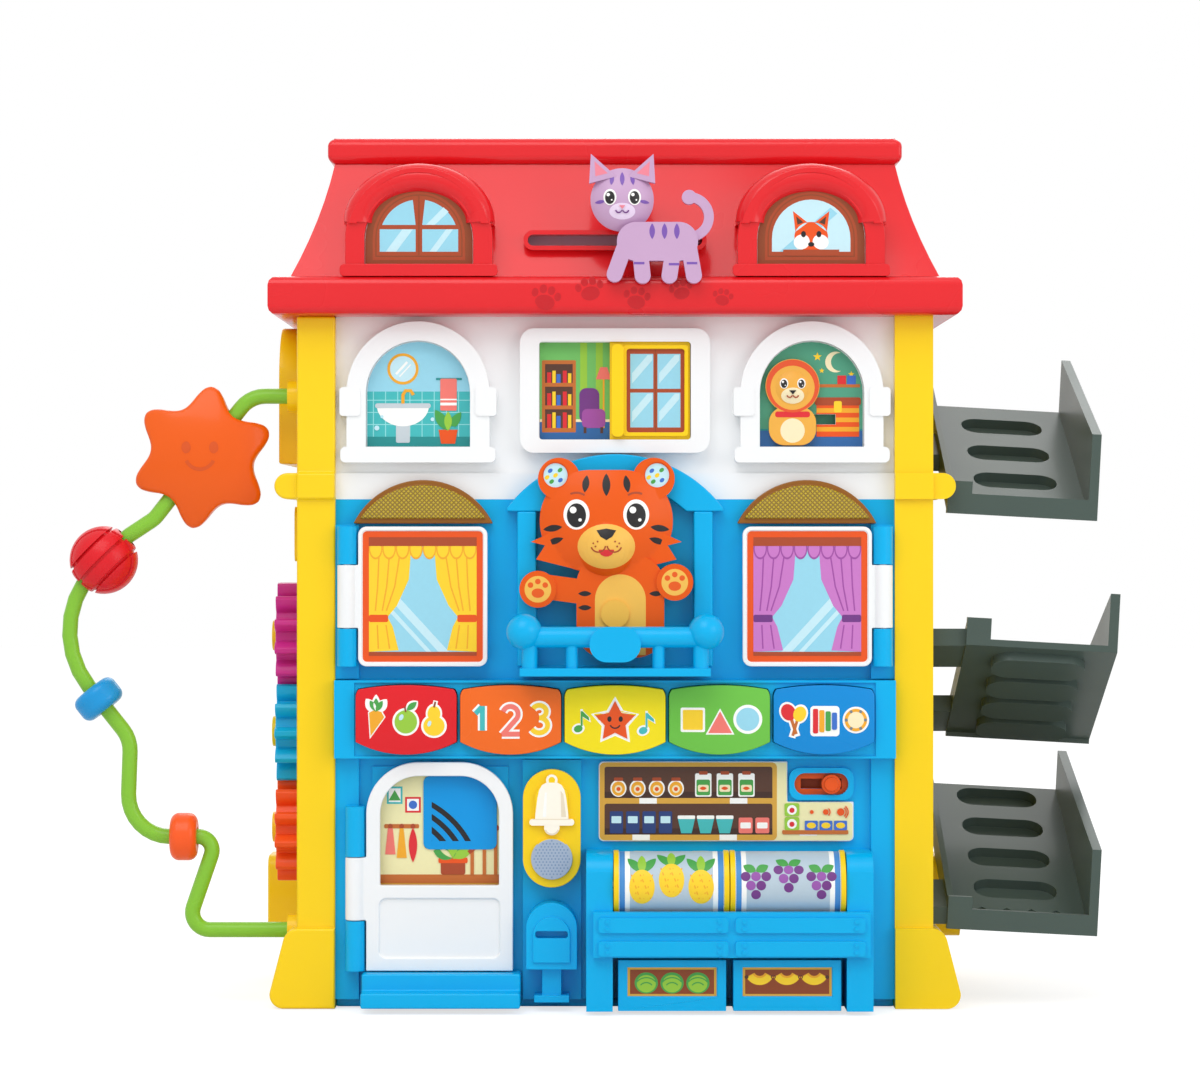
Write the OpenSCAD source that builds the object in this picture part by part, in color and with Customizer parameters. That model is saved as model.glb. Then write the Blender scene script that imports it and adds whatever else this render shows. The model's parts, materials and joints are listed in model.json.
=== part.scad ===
// Toddler activity house: a free-standing toy house with shutters, door, keys, rollers, gears,
// a bead wire and ball ramps. Front faces -Y, Z is up, the origin is on the floor under the house.

/* [House] */
// Clear width between the side walls
house_w = 321; // [312:1:330]
// Depth between the outer faces of the front and back panels
house_d = 200; // [180:1:220]
// Floor to the underside of the key bar
ground_h = 143.5; // [139:0.5:150]
// Height of the key bar
key_bar_h = 45; // [43.5:0.5:50]
// Key bar to the belt course
window_h = 103.5; // [100:0.5:110]
// Height of the upper storey
upper_h = 105; // [102:0.5:112]
// Thickness of the moulded panels
panel_t = 3; // [2.5:0.1:4]
// Thickness of the base plate
base_t = 5; // [4:0.5:8]

/* [Side walls] */
// Overall thickness of a side wall
wall_w = 22; // [18:1:26]
// How far the posts stand proud of the panels
post_proud = 6; // [4:0.5:7]
// Height of the belt course
belt_h = 15; // [12:0.5:18]
// How far the belt stands out
belt_out = 13; // [10:0.5:15]
// Height of the flared foot
foot_h = 46; // [35:1:50]
// How far the foot flares out
foot_out = 15.5; // [10:0.5:16]

/* [Roof] */
// Height of the eave band
eave_h = 22; // [18:0.5:26]
// How far the eave stands out from the side walls
eave_out = 15.5; // [13:0.5:17]
// Step from the eave face to the foot of the slope
eave_step = 12; // [10:0.5:14]
// Height of the sloping part
slope_h = 67; // [64:0.5:72]
// How far the slope leans in
slope_in = 24; // [20:0.5:27]
// Height of the roof cap
cap_h = 15; // [12:0.5:18]
// How far the cap overhangs the slope
cap_lip = 4; // [2:0.5:6]
// Wall thickness of the roof
roof_t = 3; // [2.5:0.1:4]

/* [Dormers and slot] */
// Width of a dormer hood
hood_w = 88; // [84:1:90]
// Width of a dormer window
dormer_window_w = 62; // [56:1:66]
// Height of a dormer window above its sill
dormer_window_h = 45; // [42:0.5:48]
// Height of the roof slot above the eave
slot_up = 21.5; // [19:0.5:24]
// Height of the roof slot opening
slot_h = 6.4; // [5.5:0.1:7.5]

/* [Windows] */
// Width of the middle window frame
mid_frame_w = 109; // [104:1:112]
// Width of the frame bars
frame_bar = 11; // [9:0.5:12]
// How far the window frames stand proud of the upper wall
frame_proud = 8; // [7:0.5:9]
// Height of the window sills above the belt course
sill_up = 30; // [28:0.5:31]
// Width of the sliding window panel
slider_w = 46.5; // [42:0.5:48]

/* [Balcony] */
// Width over the balcony posts
balcony_w = 112; // [108:1:116]
// Width of a balcony post
balcony_post_w = 11; // [9:0.5:13]
// How far the rail stands in front of the wall
rail_out = 33.5; // [32:0.5:36]
// Radius of the rail's end balls
ball_r = 10.2; // [8:0.1:11]

/* [Hinged leaves] */
// Thickness of the shutters and the door
leaf_t = 6; // [5:0.2:7]
// Radius of the hinge barrels
barrel_r = 5.6; // [5:0.1:6]
// Radius of the hinge pins
hinge_pin_r = 2; // [1.6:0.1:2.4]
// Height of the shutters
shutter_h = 80; // [74:0.5:82]
// Width of the door leaf
door_w = 84; // [78:0.5:88]
// Height of the doorstep
doorstep_h = 19; // [16:0.5:22]

/* [Keys] */
// Number of keys on the bar
key_n = 5; // [5:1:5]
// Height of a key
key_h = 39.5; // [36:0.5:41]
// Gap between keys
key_gap = 2; // [1.8:0.1:3]
// Press travel of the keys
press = 3; // [2:0.1:3.2]
// Radius of the key stems
stem_r = 4; // [3:0.1:4.5]

/* [Shop] */
// Width of the column between door and stall
column_w = 33.5; // [31:0.5:36]
// Radius of the picture rollers
roller_r = 20; // [18:0.5:21]
// Height of the roller axle
roller_z = 72; // [70:0.5:74]
// Radius of the roller axle
axle_r = 3; // [2.5:0.1:3.5]
// Thickness of the stall's side cheeks
cheek_t = 15; // [12:0.5:16]

/* [Gears] */
// Teeth on each gear
teeth = 12; // [12:1:12]
// Gear module
gear_m = 4.75; // [4.5:0.05:4.9]
// Thickness of the gears
gear_t = 14.5; // [12:0.5:16]
// Height of the middle gear
gear_z = 154.7; // [150:0.5:160]
// Radius of the gear axles
gear_axle_r = 4; // [3:0.1:5]

/* [Bead wire] */
// Radius of the wire
wire_r = 4.5; // [4:0.1:4.6]
// Radius of the small beads
bead_r = 13.8; // [12:0.1:15]
// Thickness of the small beads
bead_t = 15.5; // [13:0.5:17]
// Radius of the ball
toy_ball_r = 19.7; // [18:0.1:21]
// Radius of the sun to the tips of its rays
sun_r = 42; // [40:0.5:44]

/* [Ramps] */
// Width of a ramp
ramp_w = 87; // [78:1:92]
// Slope of the ramps
ramp_tilt = 24; // [22:0.5:25]
// Thickness of the ramp floor and walls
ramp_t = 3.5; // [3:0.1:4.5]
// Height of the ramp's outer wall
ramp_wall_h = 30; // [26:0.5:34]
// Height of the outer wall at the low end
ramp_end_h = 46; // [40:0.5:50]
// Gap between the house wall and a ramp
ramp_gap = 9; // [8:0.5:11]

/* [Hidden] */
$fn = 64;
// Facets of large shallow curves
fine = 200;
// Clearance round pieces that move past each other
clear = 0.4;
// Radial clearance of a turning fit
fit = 0.06;

half_w = house_w / 2;
wall_x = half_w + wall_w;
front_y = -house_d / 2;
inner_y = front_y + panel_t;
post_y = front_y - post_proud;
bar_z = ground_h;
win_z = ground_h + key_bar_h;
belt_z = win_z + window_h;
eave_z = belt_z + upper_h;

// Storey wall behind the belt course face
upper_set_back = 2.5;
upper_y = front_y + upper_set_back;

eave_x = wall_x + eave_out;
eave_y = -post_y + eave_out;
slope_z = eave_z + eave_h;
cap_z = slope_z + slope_h;
slope_steps = 6;
// Share of the slope's lean that is straight; the rest flares towards the eave
slope_straight = 0.6;

dormer_x = half_w - 48.5;
dormer_face_y = -eave_y + 3.5;
dormer_sill_h = 7;
hood_lip_up = 30;
hood_out = 2;
window_plate_in = 5;
slot_z = slope_z + slot_up;
slot_rim = 2.5;
slot_half = dormer_x - hood_w / 2 - 18;
slot_front_y = -eave_y + 14.5;
housing_back_y = -eave_y + 35.5;
housing_t = 9;

sill_z = belt_z + sill_up;
window_gap = 3;
arch_w = half_w - mid_frame_w / 2 - 2 * window_gap - 18;
arch_x = half_w - arch_w / 2 - 6.5;
arch_h = eave_z - sill_z - 3;
frame_y = upper_y - frame_proud;
card_t = 0.6;
card_fit = 0.1;
door_card_in = 3;
mid_z0 = sill_z - 3.4;
mid_z1 = eave_z - 7;
slider_t = 4.5;
slider_lip = 1.4;
slider_x = mid_frame_w / 2 - frame_bar - slider_w;
peek_slot_up = 16;
peek_margin = 3.5;
peek_head_r = 15.5;

pilaster_w = 13.5;
pilaster_out = 4;
hinge_y = front_y - 9;
shutter_hinge_x = half_w - 7.1;
door_hinge_x = -half_w + 11.7;
leaf_gap = 0.8;
shutter_x1 = shutter_hinge_x - barrel_r - leaf_gap;
shutter_x0 = balcony_w / 2 + 17;
shutter_z = win_z + (window_h - shutter_h) / 2 - 4;
shutter_tab_h = 36;
shutter_pad_y = hinge_y + leaf_t / 2 + 0.6;
door_x0 = door_hinge_x + barrel_r + leaf_gap;
door_z = doorstep_h + 3;
door_h = ground_h - door_z - 2;
door_corner = 30;
door_tab_h = 36;
door_tab_z = door_z + 29;
door_barrel_h = 29;
door_rail = 8;
door_window_z = door_z + door_h * 0.41;
door_pad_out = 2;

column_x = door_x0 + door_w + 5.5;
column_out = 4;
stall_x0 = column_x + column_w + 3;
stall_x1 = half_w - pilaster_w - 1;
stall_y = front_y - 38;
roller_y = front_y - roller_r - 1;
roller_gap = 0.5;
roller_len = (stall_x1 - stall_x0 - 2 * cheek_t - 3 * roller_gap) / 2;
stall_top = roller_z + roller_r - 1;
crate_z0 = 33;
crate_z1 = roller_z - 13.3;
crate_t = 5.5;
box_gap = 4;

bell_z0 = 70;
bell_z1 = ground_h - 6;
bell_x = column_x + column_w / 2;
bell_gap = press + 0.3;
shelf_z0 = stall_top + 4.5;
shelf_z1 = ground_h - 2;
shelf_t = 3;
volume_w = 31;
volume_h = 12.5;
volume_x = stall_x1 - 12 - volume_w / 2;
volume_z = shelf_z1 - 13;
knob_r = 6;
knob_stem = 5;
knob_rest = 5.5;

key_side = 12.5;
key_w = (house_w - 2 * key_side - (key_n - 1) * key_gap) / key_n;
key_z = bar_z + key_bar_h / 2;
bar_out = 14;
key_back_y = front_y - press - 1.5;
key_front_y = front_y - 21;
board_y = front_y + 10;
board_t = 1.6;
function key_x(i) = -half_w + key_side + key_w / 2 + i * (key_w + key_gap);

gear_r = gear_m * teeth / 2;
gear_pressure = 25;
gear_addendum = 0.8 * gear_m;
gear_dedendum = 1.1 * gear_m;
gear_backlash = 0.7;
gear_y = -20;
gear_gap = 3;
gear_face_x = -wall_x - gear_gap;

wire_y = -80;
// Corners of the bead wire: distance out from the left wall's face, height and bend radius
wire_route = [[-4, 352, 0], [29, 352, 18], [84.5, 281, 14], [100.4, 270.5, 14], [151.3, 219.6, 52],
    [98.5, 153, 20], [100.5, 96.5, 24], [48, 96.5, 8], [66.5, 42.5, 10], [-4, 42.5, 0]];
sun_at = 0.5;
toy_ball_at = 19.2;
blue_bead_at = 0.65;
orange_bead_at = 0.63;

ramp_x = wall_x + ramp_gap;
ramp_front_y = post_y + 10;
// Height of each ramp's floor at its low end, and each run along Y
ramp_top_z = 288.5;
ramp_mid_z = 154;
ramp_low_z = 49;
ramp_top_run = 142;
ramp_mid_run = 133;
ramp_low_run = 158;

battery_w = 110;
battery_h = 60;
battery_z = 40;
battery_depth = 22;
cell_r = 7.2;
cell_len = 50;
case_screw_r = 3.5;

tiger_z = win_z + 38;
tiger_pin_r = 2.5;
tiger_back_y = front_y - 11.5;

red = [0.90, 0.14, 0.16];
yellow = [0.99, 0.83, 0.11];
white = [0.96, 0.97, 0.97];
blue = [0.0, 0.65, 0.89];
grey = [0.30, 0.36, 0.35];
amber = [0.78, 0.65, 0.08];
steel = [0.7, 0.7, 0.72];
green = [0.12, 0.45, 0.25];
orange = [0.95, 0.42, 0.12];

// Extrudes an X-Z outline towards the front, from y forwards by t
module facing(y, t) translate([0, y, 0]) rotate([90, 0, 0]) linear_extrude(t) children();

// Extrudes a Y-Z outline along X, from x by t
module across(x, t) translate([x, 0, 0]) rotate([90, 0, 90]) linear_extrude(t) children();

// A cylinder along Y, from y forwards by t
module peg(x, y, z, r, t) translate([x, y, z]) rotate([90, 0, 0]) cylinder(r = r, h = t);

// A box given by its low and high corners
module block(low, high) translate(low) cube(high - low);

module rounded(w, h, r) {
    square([w - 2 * r, h], center = true);
    square([w, h - 2 * r], center = true);
    for (x = [-1, 1], y = [-1, 1])
        translate([x * (w / 2 - r), y * (h / 2 - r)]) circle(r);
}

// A round-headed window outline that stands on its foot line
module arch(w, h) intersection() {
    union() {
        translate([-w / 2, 0]) square([w, h - w / 2]);
        translate([0, h - w / 2]) circle(d = w);
    }
    translate([-w / 2, 0]) square([w, h]);
}

module mirrored() {
    children();
    mirror([1, 0, 0]) children();
}

// Side wall seen from the front: post, round-edged belt and flared foot with a soft shoulder
foot_corner_r = 8;
foot_shoulder_r = 9;
foot_shoulder_out = 8;
foot_proud = 3.5;
module foot_outline() hull() {
    translate([half_w, 0]) square([wall_w, foot_h]);
    translate([wall_x + foot_shoulder_out - foot_shoulder_r, foot_h - foot_shoulder_r])
        circle(foot_shoulder_r);
    translate([wall_x + foot_out - foot_corner_r, foot_corner_r]) circle(foot_corner_r);
}
module wall_outline() {
    translate([half_w, 0]) square([wall_w, eave_z]);
    translate([half_w, belt_z]) square([wall_w + belt_out - belt_h / 2, belt_h]);
    translate([wall_x + belt_out - belt_h / 2, belt_z + belt_h / 2]) circle(d = belt_h);
    foot_outline();
}

side_window_w = 64;
left_window_out = 14;
right_window_out = 8;
side_panel_z = belt_z - 20;
planter_y = 66;
planter_out = 30;
inner_rib = 21;
// Right-hand side wall, with a round-headed window relief at each of the given places along Y
module side_wall(window_ys, window_out) {
    difference() {
        union() {
            facing(-post_y, -2 * post_y) wall_outline();
            facing(-post_y + foot_proud, 2 * (foot_proud - post_y)) foot_outline();
            for (s = [-1, 1])
                translate([0, s * post_y, 0])
                    block([half_w, -panel_t, belt_z], [wall_x, panel_t, belt_z + belt_h]);
            for (y = window_ys)
                across(wall_x - 1, window_out + 1) translate([y, sill_z - 9]) difference() {
                    arch(side_window_w, eave_z - sill_z + 6);
                    translate([0, frame_bar]) arch(side_window_w - 2 * frame_bar, eave_z - sill_z - 12);
                }
            for (y = window_ys)
                across(wall_x - 1, 6) translate([y, side_panel_z]) difference() {
                    rounded(side_window_w, 2 * frame_bar + 10, 6);
                    rounded(side_window_w - frame_bar, frame_bar + 10, 4);
                }
            across(wall_x - 1, planter_out + 1) translate([planter_y, foot_h + 4]) rounded(36, 50, 8);
        }
        block([half_w + panel_t, post_y + panel_t, base_t],
            [wall_x - panel_t, -post_y - panel_t, eave_z - panel_t]);
        block([half_w - 1, post_y + inner_rib, 3 * base_t],
            [half_w + panel_t + 1, -post_y - inner_rib, eave_z - 3 * base_t]);
    }
}

left_windows = [-28, 52];
right_windows = [76];
socket_r = 9;
socket_out = 7;
function wire_end_z(i) = wire_route[i][1];
module left_wall() color(yellow) difference() {
    union() {
        mirror([1, 0, 0]) side_wall(left_windows, left_window_out);
        for (i = [0, len(wire_route) - 1])
            translate([-wall_x - socket_out, wire_y, wire_end_z(i)]) rotate([0, 90, 0])
                cylinder(r = socket_r, h = socket_out + 1);
    }
    for (i = [0, len(wire_route) - 1])
        translate([-wall_x - foot_out, wire_y, wire_end_z(i)]) rotate([0, 90, 0])
            cylinder(r = wire_r + fit, h = foot_out + panel_t + 1);
    for (k = [-1, 0, 1])
        translate([-wall_x - 1, gear_y, gear_z + k * 2 * gear_r]) rotate([0, 90, 0])
            cylinder(r = gear_axle_r + fit, h = panel_t + 2);
}

// The belt makes room for the low end of the top ramp
belt_notch = 50;
module right_wall() color(yellow) difference() {
    side_wall(right_windows, right_window_out);
    block([wall_x + 1, ramp_front_y - 3, belt_z - 1],
        [wall_x + belt_out + 1, ramp_front_y + belt_notch, belt_z + belt_h + 1]);
}

module base_plate() color(blue)
    block([-half_w, front_y + panel_t, 0], [half_w, -front_y - panel_t, base_t]);

back_relief = 3;
module back_panel() color(blue) difference() {
    union() {
        facing(-front_y, panel_t) translate([-half_w, base_t]) square([house_w, eave_z - base_t]);
        for (x = [-1, 1])
            facing(-front_y + back_relief, back_relief + 1) translate([x * arch_x, sill_z - 6]) difference() {
                arch(arch_w, arch_h);
                translate([0, frame_bar]) arch(arch_w - 2 * frame_bar, arch_h - 2 * frame_bar);
            }
        facing(-front_y + back_relief, back_relief + 1)
            translate([-half_w, belt_z]) square([house_w, belt_h]);
    }
    facing(-front_y + 1, panel_t + 2) translate([0, battery_z + battery_h / 2])
        rounded(battery_w, battery_h, 4);
    for (p = screw_places)
        peg(p[0], -front_y + back_relief + 1, p[1], case_screw_r, back_relief + panel_t + 2);
}

screw_in = 14;
screw_places = [for (x = [-1, 1], z = [base_t + screw_in, win_z, eave_z - screw_in])
    [x * (half_w - screw_in), z]];
screw_head_t = 3;
module case_screws() color(steel)
    for (p = screw_places) difference() {
        union() {
            peg(p[0], -front_y + 1, p[1], case_screw_r - fit, screw_head_t);
            peg(p[0], -front_y - 1, p[1], case_screw_r / 2, 14);
        }
        for (a = [0, 90])
            translate([p[0], -front_y + 1, p[1]]) rotate([0, a, 0]) cube([case_screw_r, 2, 1], center = true);
    }

boss_r = 4;
lens_w = 80;
lens_h = 25;
lens_x = (shutter_x0 + shutter_x1) / 2;
lens_gap = 1.75;
lens_z = shutter_z + shutter_h + lens_gap;
lens_curve_r = ((lens_w / 2) ^ 2 + lens_h ^ 2) / (2 * lens_h);
light_r = 5;
light_z = lens_z + light_r + 2;
grille_w = 43;
grille_x = door_x0 + door_w - 8 - grille_w / 2 - 1;
grille_z = ground_h - 31.5;
speaker_r = 20;
shutter_tab_z = shutter_z + (shutter_h - shutter_tab_h) / 2;
key_boss_z = 10;
boss_places = concat(
    [for (i = [0 : key_n - 2])
        [key_x(i) + (key_w + key_gap) / 2, key_z + (i % 2 == 0 ? 1 : -1) * key_boss_z]],
    [[bell_x + 20, (bell_z0 + bell_z1) / 2], [volume_x, volume_z - 20]],
    [for (s = [-1, 1], k = [-1, 1]) [s * (lens_x + k * 18), light_z]]);

// Fixed barrels of a hinge, above and below the gap that the leaf's own barrel turns in
module fixed_barrels(x, z0, z1) {
    difference() {
        union() {
            translate([x, hinge_y, z0]) cylinder(r = barrel_r, h = z1 - z0);
            block([x - barrel_r + 1, hinge_y, z0], [x + barrel_r - 1, front_y + 1, z1]);
        }
        translate([x, hinge_y, z0 - 1]) cylinder(r = hinge_pin_r + fit, h = z1 - z0 + 2);
    }
}

module leaf_gap_cut(x, tab_z, tab_h) translate([x, hinge_y, tab_z - clear]) {
    cylinder(r = barrel_r + leaf_gap, h = tab_h + 2 * clear);
    translate([-barrel_r - leaf_gap, -barrel_r, 0])
        cube([2 * (barrel_r + leaf_gap), barrel_r + leaf_t / 2 + 1, tab_h + 2 * clear]);
}

module lower_front() color(blue) difference() {
    union() {
        facing(inner_y, panel_t) translate([-half_w, base_t]) square([house_w, belt_z - base_t]);
        mirrored() facing(front_y + 1, pilaster_out + 1) {
            translate([half_w - pilaster_w, base_t]) square([pilaster_w, bar_z - base_t - clear]);
            translate([half_w - pilaster_w, win_z + clear]) square([pilaster_w, lens_z - win_z - 1]);
        }
        facing(front_y + 1, column_out + 1) translate([column_x, base_t])
            square([column_w, bar_z - base_t - 1]);
        facing(front_y + 1, door_pad_out + 1) translate([door_x0 + 3, door_z + 3])
            square([door_w - 6, door_h - 6]);
        mirrored() facing(front_y + 1, front_y - shutter_pad_y + 1)
            translate([lens_x, shutter_z + shutter_h / 2])
                rounded(shutter_x1 - shutter_x0 - 4, shutter_h - 4, 4);
        mirrored() fixed_barrels(shutter_hinge_x, shutter_z, shutter_z + shutter_h);
        fixed_barrels(door_hinge_x, door_tab_z - door_barrel_h, door_tab_z + door_tab_h + door_barrel_h);
        facing(front_y + 1, pilaster_out + 1) translate([volume_x, volume_z])
            rounded(volume_w + 6, volume_h + 6, 6);
        for (p = boss_places) peg(p[0], board_y, p[1], boss_r, board_y - inner_y + 1);
    }
    mirrored() leaf_gap_cut(shutter_hinge_x, shutter_tab_z, shutter_tab_h);
    leaf_gap_cut(door_hinge_x, door_tab_z, door_tab_h);
    mirrored() facing(inner_y + 1, front_y - shutter_pad_y + 1) translate([lens_x, shutter_z + shutter_h / 2])
        rounded(shutter_x1 - shutter_x0 - 10, shutter_h - 10, 2);
    for (i = [0 : key_n - 1]) peg(key_x(i), inner_y + 1, key_z, stem_r + fit, panel_t + 2);
    for (z = [bell_z0 + 14, bell_z1 - 14])
        peg(bell_x, inner_y + 1, z, stem_r + fit, column_out + panel_t + 2);
    mirrored() peg(lens_x, inner_y + 1, light_z, light_r, panel_t + 2);
    peg(grille_x, inner_y + 1, grille_z, speaker_r - 3, panel_t + door_pad_out + 2);
    peg(0, inner_y + 1, tiger_z, tiger_pin_r + fit, panel_t + 2);
    facing(front_y, pilaster_out + 1) translate([volume_x, volume_z])
        rounded(volume_w, volume_h, volume_h / 2 - 0.1);
    facing(inner_y + 1, panel_t + 2) translate([volume_x, volume_z])
        square([volume_w - volume_h + knob_stem, knob_stem + 2 * clear], center = true);
}

arch_in_w = arch_w - 2 * frame_bar;
arch_in_h = arch_h - frame_bar;
mid_bar = 7.6;
mid_in_w = mid_frame_w - 2 * frame_bar;
mid_in_h = mid_z1 - mid_z0 - 2 * mid_bar;
mid_z = (mid_z0 + mid_z1) / 2;
slider_tongue = 2;
window_block_w = 12;
window_block_h = 16.5;
sill_h = 9;
peek_stem = 5;
peek_x = arch_x - arch_in_w / 2 + peek_margin + peek_head_r;
peek_travel = arch_in_w - 2 * (peek_head_r + peek_margin);
// The slot that the peeking figure's stem runs along
module peek_slot(extra) translate([peek_x + peek_travel / 2, sill_z + peek_slot_up])
    square([peek_travel + peek_stem + 2 * clear + extra, peek_stem + 2 * clear + extra], center = true);

module upper_front() color(white) difference() {
    union() {
        facing(upper_y + panel_t, panel_t) translate([-half_w, belt_z]) square([house_w, upper_h]);
        facing(upper_y + 1, upper_set_back + 1) translate([-half_w, belt_z]) square([house_w, belt_h]);
        for (s = [-1, 1]) {
            facing(upper_y + 1, frame_proud + 1) translate([s * arch_x, sill_z]) difference() {
                arch(arch_w, arch_h);
                arch(arch_in_w, arch_in_h);
            }
            facing(upper_y + 1, frame_proud + 3) translate([s * arch_x, sill_z - sill_h / 2])
                rounded(arch_w + 7, sill_h, 3);
            for (k = [-1, 1])
                facing(upper_y + 1, frame_proud + 2)
                    translate([s * arch_x + k * (arch_w / 2 - 2), sill_z + 26])
                        rounded(window_block_w, window_block_h, 2);
        }
        facing(upper_y + 1, frame_proud + 1) translate([0, mid_z]) difference() {
            rounded(mid_frame_w, mid_z1 - mid_z0, 8);
            rounded(mid_in_w, mid_in_h, 2);
        }
    }
    facing(upper_y, frame_proud - slider_lip) translate([0, mid_z])
        square([mid_in_w, mid_in_h + 2 * slider_tongue], center = true);
    facing(upper_y + panel_t + 1, panel_t + 2) peek_slot(0);
}

module window_card() translate([0, sill_z]) arch(arch_in_w - 2 * card_fit, arch_in_h - card_fit);
module picture_cards() color(white) {
    facing(upper_y, card_t) {
        translate([-arch_x, 0]) window_card();
        translate([0, mid_z])
            square([mid_in_w - 2 * card_fit, mid_in_h + 2 * slider_tongue - 2 * card_fit], center = true);
        difference() {
            translate([arch_x, 0]) window_card();
            peek_slot(0);
        }
    }
    facing(front_y - door_pad_out, card_t) difference() {
        translate([door_x0 + door_card_in, door_z + door_card_in])
            round_shouldered(door_w - 2 * door_card_in, door_h - 2 * door_card_in,
                door_corner - door_card_in);
        translate([grille_x, grille_z]) rounded(grille_w, grille_w, 4);
    }
    for (s = [-1, 1])
        facing(dormer_face_y + window_plate_in, 2) translate([s * dormer_x, slope_z + dormer_sill_h])
            arch(dormer_window_w - 2 * card_fit, dormer_window_h - card_fit);
}

module window_slider() color(yellow) translate([slider_x, 0, 0]) {
    back_y = upper_y - card_t - clear;
    h = mid_in_h + 2 * slider_tongue - 2 * clear;
    facing(back_y, slider_t) translate([0, mid_z - h / 2]) square([slider_w - clear, h]);
    facing(back_y, slider_t + 2) translate([slider_w / 2 + 3, mid_z]) difference() {
        rounded(slider_w - 9, mid_in_h - 4, 2);
        rounded(slider_w - 13, mid_in_h - 8, 2);
    }
    facing(back_y, slider_t + 6) translate([4.5, mid_z]) rounded(7, mid_in_h - 3, 3);
}

eave_round = 5;
round_steps = 3;
function slope_x(hx, t) = hx - eave_step
    - slope_in * (slope_straight * t + (1 - slope_straight) * (1 - (1 - t) ^ 2));
function corner(x, z, a0) = [for (k = [0 : round_steps]) let (a = a0 + 90 * k / round_steps)
    [x + eave_round * cos(a), z + eave_round * sin(a)]];
// Right half of the roof's outline, from the underside of the eave to the top, set in by a wall thickness
function roof_side(hx, inset) = concat(
    corner(hx - inset - eave_round, eave_z + inset + eave_round, -90),
    corner(hx - inset - eave_round, slope_z - inset - eave_round, 0),
    [[slope_x(hx, 0) - inset, slope_z - inset]],
    [for (i = [1 : slope_steps]) [slope_x(hx, i / slope_steps) - inset,
        slope_z + slope_h * i / slope_steps - (i == slope_steps ? inset : 0)]]);
module roof_outline(hx, inset) {
    side = roof_side(hx, inset);
    polygon(concat(side, [for (i = [len(side) - 1 : -1 : 0]) [-side[i][0], side[i][1]]]));
}
module roof_body(inset) intersection() {
    facing(eave_y + 1, 2 * eave_y + 2) roof_outline(eave_x, inset);
    across(-eave_x - 1, 2 * eave_x + 2) roof_outline(eave_y, inset);
}

slot_w = 2 * slot_half;
pocket_w = slot_w + 12;
pocket_h = slot_h + 8;
module roof_shell() color(red) difference() {
    union() {
        difference() {
            roof_body(0);
            roof_body(roof_t);
            block([-half_w + 12, front_y + 15, eave_z - 1],
                [half_w - 12, -front_y - 15, eave_z + roof_t + 1]);
        }
        facing(housing_back_y, housing_back_y - slot_front_y) translate([0, slot_z])
            rounded(slot_w + 2 * slot_rim, slot_h + 2 * slot_rim, slot_h / 2 + slot_rim - 0.1);
        facing(housing_back_y, housing_t) translate([0, slot_z]) rounded(pocket_w + 10, pocket_h + 5, 3);
    }
    facing(housing_back_y + 1, housing_back_y - slot_front_y + 2) translate([0, slot_z])
        rounded(slot_w, slot_h, slot_h / 2 - 0.1);
    facing(housing_back_y + 1, housing_t) translate([0, slot_z]) square([pocket_w, pocket_h], center = true);
}

cap_x = slope_x(eave_x, 1) + cap_lip;
cap_y = slope_x(eave_y, 1) + cap_lip;
cap_round = 5;
module roof_cap() color(red) difference() {
    intersection() {
        facing(cap_y, 2 * cap_y) translate([0, cap_z + cap_h / 2]) rounded(2 * cap_x, cap_h, cap_round);
        across(-cap_x, 2 * cap_x) translate([0, cap_z + cap_h / 2]) rounded(2 * cap_y, cap_h, cap_round);
    }
    block([-cap_x + cap_lip + 6, -cap_y + cap_lip + 6, cap_z - 1],
        [cap_x - cap_lip - 6, cap_y - cap_lip - 6, cap_z + cap_h - roof_t]);
}

hood_h = slope_h - 2;
module dormers() color(red) difference() {
    mirrored() translate([dormer_x, 0, slope_z]) difference() {
        union() {
            facing(-cap_y + cap_lip, -cap_y + cap_lip - dormer_face_y) arch(hood_w - 4, hood_h - 2);
            facing(dormer_face_y + 1, hood_out + 1) intersection() {
                difference() {
                    arch(hood_w - 6, hood_h - 3);
                    translate([0, dormer_sill_h]) arch(dormer_window_w + 10, dormer_window_h + 7);
                }
                translate([-hood_w, hood_lip_up]) square([2 * hood_w, hood_h]);
            }
            facing(-cap_y + cap_lip, -cap_y + cap_lip - dormer_face_y - 6) intersection() {
                arch(hood_w, hood_h);
                translate([-hood_w, hood_lip_up]) square([2 * hood_w, hood_h]);
            }
            facing(dormer_face_y + 2, 4) translate([0, dormer_sill_h / 2])
                rounded(hood_w + 2, dormer_sill_h, 2.5);
        }
        translate([0, 0, dormer_sill_h]) facing(dormer_face_y + window_plate_in, window_plate_in + 3)
            arch(dormer_window_w, dormer_window_h);
    }
    roof_body(0);
}

module slot_strip() color([0.8, 0.66, 0.84])
    facing(housing_back_y + 2, 2) translate([0, slot_z]) rounded(pocket_w + 8, pocket_h + 4, 3);

lens_t = 9;
module lens_outline(extra) intersection() {
    translate([0, lens_h - lens_curve_r]) circle(lens_curve_r + extra);
    translate([-lens_w, -extra]) square([2 * lens_w, lens_h + 2 * extra + 1]);
}
module amber_lenses() color(amber)
    for (s = [-1, 1]) translate([s * lens_x, 0, lens_z]) {
        facing(front_y, lens_t - 2) lens_outline(0);
        facing(front_y - lens_t + 3, 3) translate([0, 3]) intersection() {
            translate([0, lens_h - lens_curve_r - 5]) circle(lens_curve_r - 1);
            translate([-lens_w, 0]) square([2 * lens_w, lens_h]);
        }
    }

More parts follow.
